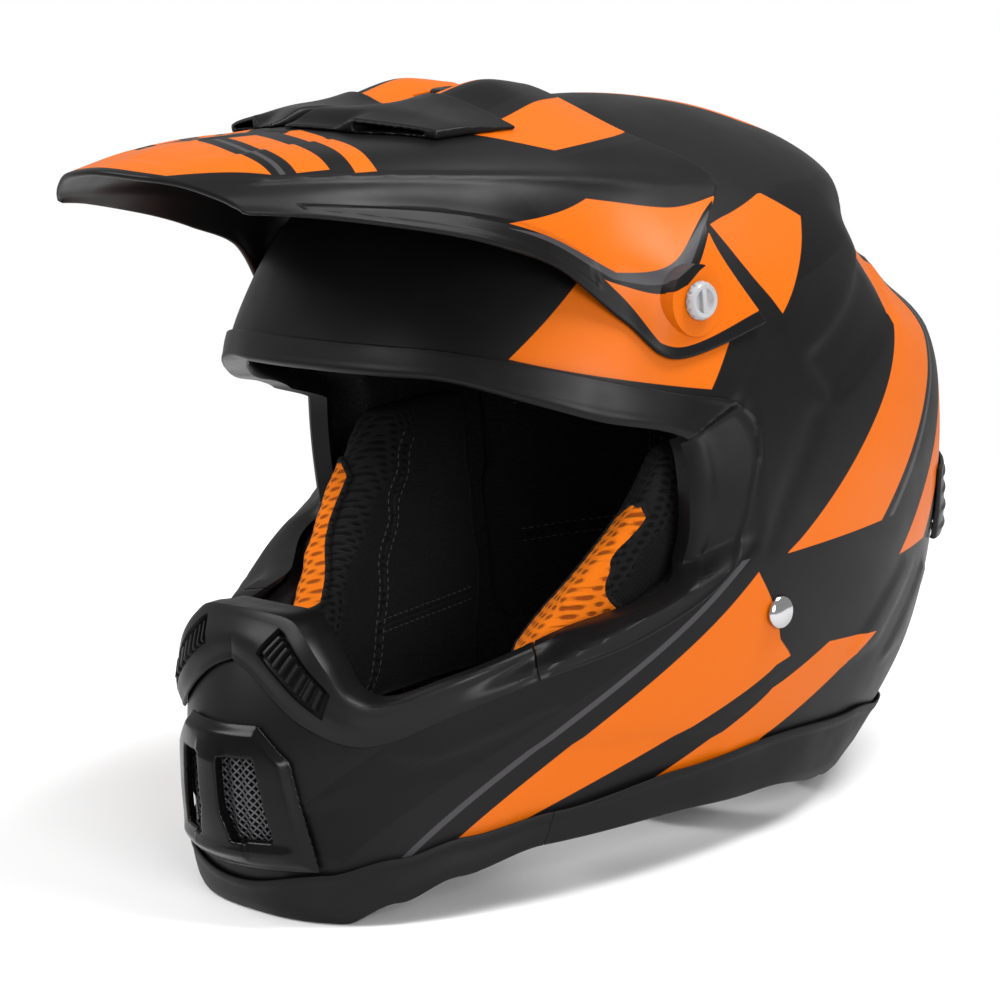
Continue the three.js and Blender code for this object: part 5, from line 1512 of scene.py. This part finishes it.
middle = turned("centre_screw_head", profile, centre, Z_AXIS, 96, gripped, 40)
cut(middle, block((-5, SCREW_BACK - 1.1, UNDER + 1.2), (5, SCREW_BACK + 1.1, UNDER + 4)))
place_piece(middle, "middle_screw", "black_plastic", black_plastic, "centre_screw")

# %% [markdown]
# ## Chin strap
# Webbing is a flat section led along a path: down from the rivet, under the chin, round the two
# rings and back. Its ribs and cords are in the material, placed by the distance along the strap.

# %% Webbing
STRAP, HALF_STRAP = 2.2, 11.0
widths = row_at(shell_shares, places)[:, 1]
RIVET_SKIN = float(np.interp(RIVET[1], rises * HEIGHT, widths)) * HALF
PLATE_FACE = float(np.interp(RIVET[1] - 9, rises * HEIGHT, widths)) * HALF - WALL - 0.6
STRAP_FACE = PLATE_FACE - 1.5 - 0.3
LOW_RUN = 6 + STRAP / 2
TAIL = LOW_RUN + STRAP + 0.5
RING_LOW = TAIL + STRAP / 2 + 2.5
RING_HIGH = RING_LOW + 4.6
WRAP = 2 + STRAP / 2 + 1.1
BOW_LOW, BOW_HIGH, RING_BAR, EASE = -18.0, -30.0, -56.0, 6.0
side_shares = np.array([[0.873, 0.745], [0.802, 0.574], [0.714, 0.372], [0.595, 0.197], [0.46, 0.096]])


def side_path(side):
    top = STRAP_FACE - STRAP / 2
    straight = [(side * top, h) for h in (RIVET[1] + 9, RIVET[1], RIVET[1] - 9)]
    return straight + [(side * a * HALF, b * RIVET[1]) for a, b in side_shares]


left_path = side_path(1) + [
    (34, LOW_RUN), (8, LOW_RUN), (BOW_HIGH + 8, LOW_RUN), (BOW_HIGH, LOW_RUN + 1.2),
    (BOW_HIGH - WRAP, mix(LOW_RUN, RING_HIGH, 0.45)), (BOW_HIGH - WRAP, RING_HIGH),
    (BOW_HIGH, RING_HIGH + WRAP), (BOW_HIGH + WRAP, RING_HIGH), (BOW_HIGH + WRAP + 1.2, RING_LOW - 0.5),
    (BOW_LOW - 3, TAIL), (BOW_LOW + 6, TAIL), (40, TAIL),
]
right_path = side_path(-1)[:-1] + [
    (RING_BAR - EASE, RING_LOW - WRAP), (RING_BAR, RING_LOW - WRAP), (RING_BAR + WRAP, RING_LOW),
    (RING_BAR + WRAP, RING_HIGH), (RING_BAR, RING_HIGH + WRAP),
    (RING_BAR - EASE, RING_HIGH + WRAP - 0.6), (RING_BAR - 18, RING_HIGH + WRAP + 1.5),
]


def strap(name, path, density=14):
    """Webbing along a path in the X and Z plane, with its length kept in a UV map."""
    path = np.array(path, float)
    line = row_at(path, np.linspace(0, len(path) - 1, (len(path) - 1) * density + 1))
    along = unit(np.gradient(line, axis=0))
    normal = np.stack([-along[:, 1], along[:, 0]], 1)
    corners = [
        (-1, -0.55), (-1.0, 0.55), (-0.965, 0.92), (-0.9, 1), (-0.45, 1), (0, 1), (0.45, 1), (0.9, 1),
        (0.965, 0.92), (1, 0.55), (1, -0.55), (0.965, -0.92), (0.9, -1), (0.45, -1), (0, -1),
        (-0.45, -1), (-0.9, -1), (-0.965, -0.92),
    ]
    sections = [
        [
            (p[0] + n[0] * h * STRAP / 2, RIVET[0] + w * HALF_STRAP, p[1] + n[1] * h * STRAP / 2)
            for w, h in corners
        ]
        for p, n in zip(line, normal)
    ]
    obj = sweep(name, sections, crease=60)
    run = np.concatenate([[0], np.cumsum(np.linalg.norm(np.diff(line, axis=0), axis=1))])
    tree = KDTree(len(line))
    for number, p in enumerate(line):
        tree.insert((p[0] * MM, 0, p[1] * MM), number)
    tree.balance()
    layer = obj.data.uv_layers.new(name="UVMap")
    for loop in obj.data.loops:
        co = obj.data.vertices[loop.vertex_index].co
        layer.data[loop.index].uv = (co.y, run[tree.find((co.x, 0, co.z))[1]] * MM)
    return obj, line, normal


# The snap's place along X, under the chin
SNAP_X = 30
STITCH = dict(Spacing=0.0032, Length=0.0024, Radius=0.00035)
for word, path, side in (("left", left_path, 1), ("right", right_path, -1)):
    obj, line, normal = strap("webbing_" + word, path)
    tools = [bar((side * STRAP_FACE, *RIVET), X_AXIS, 2.9, 16, 24)]
    if side > 0:
        tools.append(bar((SNAP_X, RIVET[0], TAIL), Z_AXIS, 2.7, 20, 24))
    cut(obj, *tools)
    place_piece(obj, "chin_strap", "strap_webbing", strap_webbing, "strap_" + word)
    # Two bars of stitches across the webbing, at these points of its line
    bars = []
    for at in ((22, 30) if side > 0 else (60, 66)):
        x, z = line[at] + normal[at] * (-STRAP / 2 - 0.1)
        bars.append([(x, RIVET[0] + w, z) for w in np.linspace(-9, 9, 12)])
    sewn = along_lines(
        "strap_stitches_" + word, bars, stitch_tree, stitch_sockets, thread_grey, **STITCH,
    )
    place_piece(sewn, "chin_strap", "strap_webbing", None)

# %% Rings, snap, rivets and anchor plates
for name, bow, height, node_name in (
    ("d_ring_low", BOW_LOW, RING_LOW, "d_ring_inner"),
    ("d_ring_high", BOW_HIGH, RING_HIGH, "d_ring_outer"),
):
    corner = [(RING_BAR, 0), (RING_BAR, 11), (RING_BAR + 4, 15), (bow - 4, 15), (bow, 11)]
    loop = np.array(corner + [(bow, 0)] + [(a, -b) for a, b in corner[:0:-1]], float)
    cyclic = np.concatenate([loop[-2:], loop, loop[:3]])
    line = row_at(cyclic, np.linspace(2, 2 + len(loop), 161)[:-1])
    along = unit(np.roll(line, -1, 0) - np.roll(line, 1, 0))
    aside = np.stack([along[:, 1], -along[:, 0]], 1)
    turns = np.linspace(0, 2 * np.pi, 18, endpoint=False)
    sections = [
        [
            (
                p[0] + a[0] * 2 * math.cos(r), p[1] + RIVET[0] + a[1] * 2 * math.cos(r),
                height + 2 * math.sin(r),
            )
            for r in turns
        ]
        for p, a in zip(line, aside)
    ]
    ring = sweep(name, sections, closed=True, crease=60)
    place_piece(ring, "chin_strap", "ring_steel", ring_steel, node_name)

seat = TAIL + STRAP / 2 + 0.3
cap = [
    (0.01, 6), (2.4, 6), (2.4, seat), (5.6, seat), (6, seat + 0.3), (6, seat + 0.8), (5.2, seat + 1.3),
    (3.6, seat + 1.6), (3.2, seat + 1.25), (0.01, seat + 1.2),
]
base = [(0.01, 4.1), (4.8, 4.1), (5.8, 4.4), (6, 4.8), (6, 5.4), (5.7, 5.7), (0.01, 5.7)]
for name, profile, node_name in (("snap_cap", cap, "strap_snap_cap"), ("snap_base", base, "strap_snap_base")):
    obj = turned(name, profile, (SNAP_X, RIVET[0], 0), Z_AXIS, 72)
    place_piece(obj, "chin_strap", "black_plastic", black_plastic, node_name)

for side, word in SIDES:
    tail_face = STRAP_FACE - STRAP - 0.3
    face = RIVET_SKIN + 0.6
    dome = [(6.4 * math.cos(a), face + 0.5 + 2.7 * math.sin(a)) for a in np.linspace(0, math.pi / 2, 12)[:-1]]
    profile = [
        (0.01, tail_face - 1.5), (4.4, tail_face - 1.5), (4.8, tail_face - 1.2), (4.8, tail_face),
        (2.4, tail_face), (2.4, face), (6.0, face), (6.4, face + 0.2), *dome, (0.01, face + 3.2),
    ]
    rivet = turned("rivet_" + word, profile, (0, *RIVET), (side, 0, 0), 72)
    place_piece(rivet, "helmet", "rivet_chrome", rivet_chrome, "strap_rivet_" + word)
    a, b = sorted((side * (PLATE_FACE - 1.5), side * PLATE_FACE))
    plate = block((a, RIVET[0] - 9, RIVET[1] - 5.4), (b, RIVET[0] + 9, RIVET[1] + 9), "plate")
    edge = plate.modifiers.new("corner", "BEVEL")
    edge.width, edge.segments, edge.limit_method = 0.4 * MM, 3, "ANGLE"
    apply(plate)
    cut(plate, bar((side * PLATE_FACE, *RIVET), X_AXIS, RIVET_HOLE, 12, 32))
    plate.name = "anchor_plate_" + word + "_steel"
    place_piece(plate, "helmet", "plate_steel", plate_steel, "anchor_plate_" + word)

# %% [markdown]
# ## Foam and pads
# The two foam liners are the measured solids, rebuilt from small cells so that their edges are soft.
# Each pad is blown up a little like a cushion: a cloth simulation pushes a closed skin outwards, and
# its movement is kept within a limit. Piping, stitches and the cheek pads' coloured mesh are laid on
# the cushions afterwards, each at the nearest place of the swollen skin.

# %% Liners
for node_name, name, cell in (("impact_liner", "foam_dome", 2.4), ("chin_liner", "foam_chin", 1.6)):
    obj = soften(copy_of(node_name, name), cell, 3, crease=70)
    place_piece(obj, "helmet", "foam", foam, node_name)


# %% Pads
def stuffed(node_name, name, cell=4.5, most=1.8, pressure=4.0):
    """A CAD pad as a swollen cushion, of which no point moves further than most."""
    obj = copy_of(node_name, name)
    remesh = obj.modifiers.new("cells", "REMESH")
    remesh.mode, remesh.voxel_size = "VOXEL", cell * MM
    apply(obj)
    before = np.array([v.co for v in obj.data.vertices])
    press = obj.modifiers.new("press", "CLOTH")
    press.settings.quality = 5
    press.settings.mass = 0.15
    press.settings.tension_stiffness = press.settings.compression_stiffness = 25
    press.settings.shear_stiffness, press.settings.bending_stiffness = 12, 1.5
    press.settings.use_pressure, press.settings.uniform_pressure_force = True, pressure
    press.settings.effector_weights.gravity = 0
    press.point_cache.frame_start, press.point_cache.frame_end = 1, 20
    for number in range(1, press.point_cache.frame_end + 1):
        bpy.context.scene.frame_set(number)
    apply(obj)
    bpy.context.scene.frame_set(1)
    after = np.array([v.co for v in obj.data.vertices])
    move = after - before
    size = np.linalg.norm(move, axis=1)[:, None]
    after = before + move * np.minimum(1, most * MM / np.maximum(size, 1e-9))
    obj.data.vertices.foreach_set("co", after.ravel())
    ease = obj.modifiers.new("ease", "SMOOTH")
    ease.factor, ease.iterations = 0.5, 3
    finer = obj.modifiers.new("finer", "SUBSURF")
    finer.levels = 1
    finish_mesh(apply(obj), 80)
    return obj


pads = [
    ("cheek_pad_left", "cheek_cushion_left"), ("cheek_pad_right", "cheek_cushion_right"),
    ("crown_pad", "crown_cushion"), ("rear_pad", "rear_cushion"), ("neck_roll", "neck_cushion"),
    ("chin_pad", "chin_cushion"),
]
cushions, skins = {}, {}
for node_name, name in pads:
    obj = stuffed(node_name, name)
    cushions[node_name] = obj
    skins[node_name] = BVHTree.FromPolygons(
        [v.co.copy() for v in obj.data.vertices], [tuple(f.vertices) for f in obj.data.polygons],
    )

# %% Where the cheek pads lie
# Shares of the height where the cheek pads begin and end, and how far the crown's foam bends inwards
CHEEK_LOW, CHEEK_HIGH, CROWN_DROP = 0.133, 0.554, 36
cheek_front = np.array([[0.133, 50], [0.246, 50], [0.337, 52], [0.414, 61], [0.477, 69], [0.554, 77]])


def cavity(angle, place, inwards=0.0):
    """A place on the wall of the room for the head, or further inwards."""
    angle, place = np.broadcast_arrays(np.asarray(angle, float), np.asarray(place, float))
    row = row_at(shell_shares, place)
    side = mix(12.8, 32, smooth(0, 0.36, row[..., 0])) + inwards
    rear = mix(15.8, 44, smooth(0, 0.45, row[..., 0])) + inwards
    front = mix(16.8, 28, smooth(0.4, 0.62, row[..., 0])) + inwards
    fade = np.sqrt(np.clip((1 - row[..., 0]) / 0.1, 0, 1))
    x, y = outline(row, angle, side * fade, front * fade, rear * fade)
    return np.stack([x, y, row[..., 0] * HEIGHT - row[..., 0] ** 3 * (CROWN_DROP + inwards)], -1)


def cavity_place(height, inwards=0.0):
    """The place at which the room's wall has a height, found by trying nearer each time."""
    share = np.asarray(height) / HEIGHT
    for _ in range(12):
        share = (height + share**3 * (CROWN_DROP + inwards)) / HEIGHT
    return place_of(share)


def cheek_point(side, u, v, inwards):
    """A place on a cheek pad: u from its front edge back, v from its foot up."""
    share = mix(CHEEK_LOW, CHEEK_HIGH, v)
    angle = mix(table_at(cheek_front, share, 1), 98, u)
    return cavity(angle, cavity_place(share * HEIGHT, inwards), inwards) * [side, 1, 1]


def laid_on(skin_tree, points, out):
    """Points moved to the nearest place on a cushion, and lifted off it."""
    laid = []
    for p, lift in zip(points.reshape(-1, 3) * MM, np.broadcast_to(out, points.shape[:-1]).ravel()):
        spot, normal = skin_tree.find_nearest(p)[:2]
        laid.append(np.array(spot) / MM + np.array(normal) * lift)
    return np.array(laid).reshape(points.shape)


def seam(name, skin_tree, lines):
    """Piping along lines on a cushion, with a row of stitches on each side."""
    piped = along_lines(
        name + "_piping", [laid_on(skin_tree, line, 0.15) for line in lines], tube_tree, tube_sockets,
        pad_fabric, Radius=0.0009, Sides=8,
    )
    rows = []
    for line in lines:
        ahead = np.gradient(line, axis=0)
        up_there = np.array([skin_tree.find_nearest(p * MM)[1] for p in line])
        aside = unit(np.cross(ahead, up_there))
        rows += [laid_on(skin_tree, line + aside * shift, 0.1) for shift in (-2.6, 2.6)]
    sewn = along_lines(
        name + "_stitches", rows, stitch_tree, stitch_sockets, thread_grey, Spacing=0.0034,
        Length=0.0024, Radius=0.0003,
    )
    for obj in (piped, sewn):
        place_piece(obj, "helmet", "pad_fabric", None)


print("front edge of the left cheek pad", np.round(cheek_point(1, 0, 0.5, 0), 1))


# %% Cheek pads: mesh border at the front, fleece behind it
# Width of the mesh border, and the height under which the pad is fleece all round
BORDER, FLEECE_BELOW = 21, 58
# How far into the room the seams' lines are drawn, before they are laid on the cushion
INTO_ROOM = 21
run = np.linspace(0, 1, 40)
for side, word in SIDES:
    node_name = "cheek_pad_" + word
    obj, tree = cushions[node_name], skins[node_name]
    obj.data.materials.append(pad_fabric)
    obj.data.materials.append(fleece)
    corner = cheek_point(side, 0, run, 0)
    for face in obj.data.polygons:
        at = np.array(face.center) / MM
        front = np.interp(at[2], corner[:, 2], corner[:, 1])
        face.material_index = int(at[1] > front + BORDER or at[2] < FLEECE_BELOW)
    place_piece(obj, "helmet", "pad_fabric", None, node_name)
    inner_line = cheek_point(side, 0.34, mix(0.06, 0.9, run), INTO_ROOM)
    low_line = cheek_point(side, mix(0.34, 0.92, run), 0.3, INTO_ROOM)
    seam("cheek_" + word, tree, [inner_line, low_line])

    # The coloured mesh wraps the pad's front edge: half of its grid lies on the wall, half on the face
    across, rise = field(70, 90)
    height = mix(0.42, 0.86, rise)
    taper = np.sqrt(np.clip((1.02 - rise) / 0.16, 0, 1)) * np.sqrt(np.clip((rise + 0.04) / 0.1, 0, 1))
    back = mix(31, 10, smooth(0.05, 0.5, rise)) * taper / 68
    depth = mix(16, 10.5, smooth(0.2, 0.5, rise)) * taper
    on_wall = cheek_point(side, 0 * across, height, depth * np.clip(1 - across * 2, 0, 1))
    on_face = cheek_point(side, np.clip(across * 2 - 1, 0, 1) * back, height, 0)
    target = np.where((across < 0.5)[..., None], on_wall, on_face)
    panel = slab("cheek_accent_" + word, laid_on(tree, target, 1.5), laid_on(tree, target, 0.2), roll=0.9)
    ease = panel.modifiers.new("ease", "SMOOTH")
    ease.factor, ease.iterations = 0.5, 4
    apply(panel)
    place_piece(panel, "helmet", "accent_mesh", accent_mesh, "cheek_panel_" + word)
    edge = [target[:, 0], target[-1, :], target[::-1, -1], target[0, ::-1]]
    border = laid_on(tree, np.concatenate([line[:-1] for line in edge]), 0.7)
    rim = along_lines(
        "cheek_border_" + word, [border], tube_tree, tube_sockets, pad_fabric, closed=True,
        Radius=0.0013, Sides=10,
    )
    place_piece(rim, "helmet", "pad_fabric", None)

# %% The other pads
for node_name in ("crown_pad", "rear_pad", "neck_roll", "chin_pad"):
    obj = cushions[node_name]
    obj.data.materials.append(fleece if node_name != "chin_pad" else pad_fabric)
    place_piece(obj, "helmet", "pad_fabric", None, node_name)
CROWN_IN, REAR_IN, NECK_IN = 11.0, 10.0, 15.0
low = float(place_of(0.83))
spokes = [cavity(60.0 * k + 30, mix(low + 0.6, LAST - 0.6, run), CROWN_IN) for k in range(6)]
ring = cavity(np.linspace(0, 360, 90), np.full(90, mix(low, LAST, 0.55)), CROWN_IN)
seam("crown", skins["crown_pad"], [*spokes, ring])
turn = np.linspace(112, 248, 60)
level_lines = [cavity(turn, cavity_place(h, REAR_IN), REAR_IN) for h in (90.0, 150.0)]
climb_places = cavity_place(mix(60, 185, run), REAR_IN)
upright_lines = [cavity(a, climb_places, REAR_IN) for a in (150.0, 180.0, 210.0)]
seam("rear", skins["rear_pad"], level_lines + upright_lines)
seam("neck", skins["neck_roll"], [cavity(turn, cavity_place(28.0, NECK_IN), NECK_IN)])

# %% Snaps behind the cheek pads
snap_places = np.array([[-0.044, 0.428], [-0.242, 0.295], [-0.253, 0.19]]) * [CHIN, HEIGHT]
for side, word in SIDES:
    for number, (y, z) in enumerate(snap_places, 1):
        low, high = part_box(f"pad_snap_{word}_{number}")
        x0, x1 = sorted((abs(low[0]) / MM, abs(high[0]) / MM))
        profile = [
            (0.01, x0), (4.6, x0), (5.4, x0 + 0.4), (5.5, x0 + 1.2), (5.0, x0 + 1.7), (3.2, x0 + 1.8),
            (3.0, x1), (0.01, x1),
        ]
        snap = turned(f"snap_{word}_{number}", profile, (0, y, z), (side, 0, 0), 40)
        place_piece(snap, "helmet", "black_plastic", black_plastic, f"pad_snap_{word}_{number}")
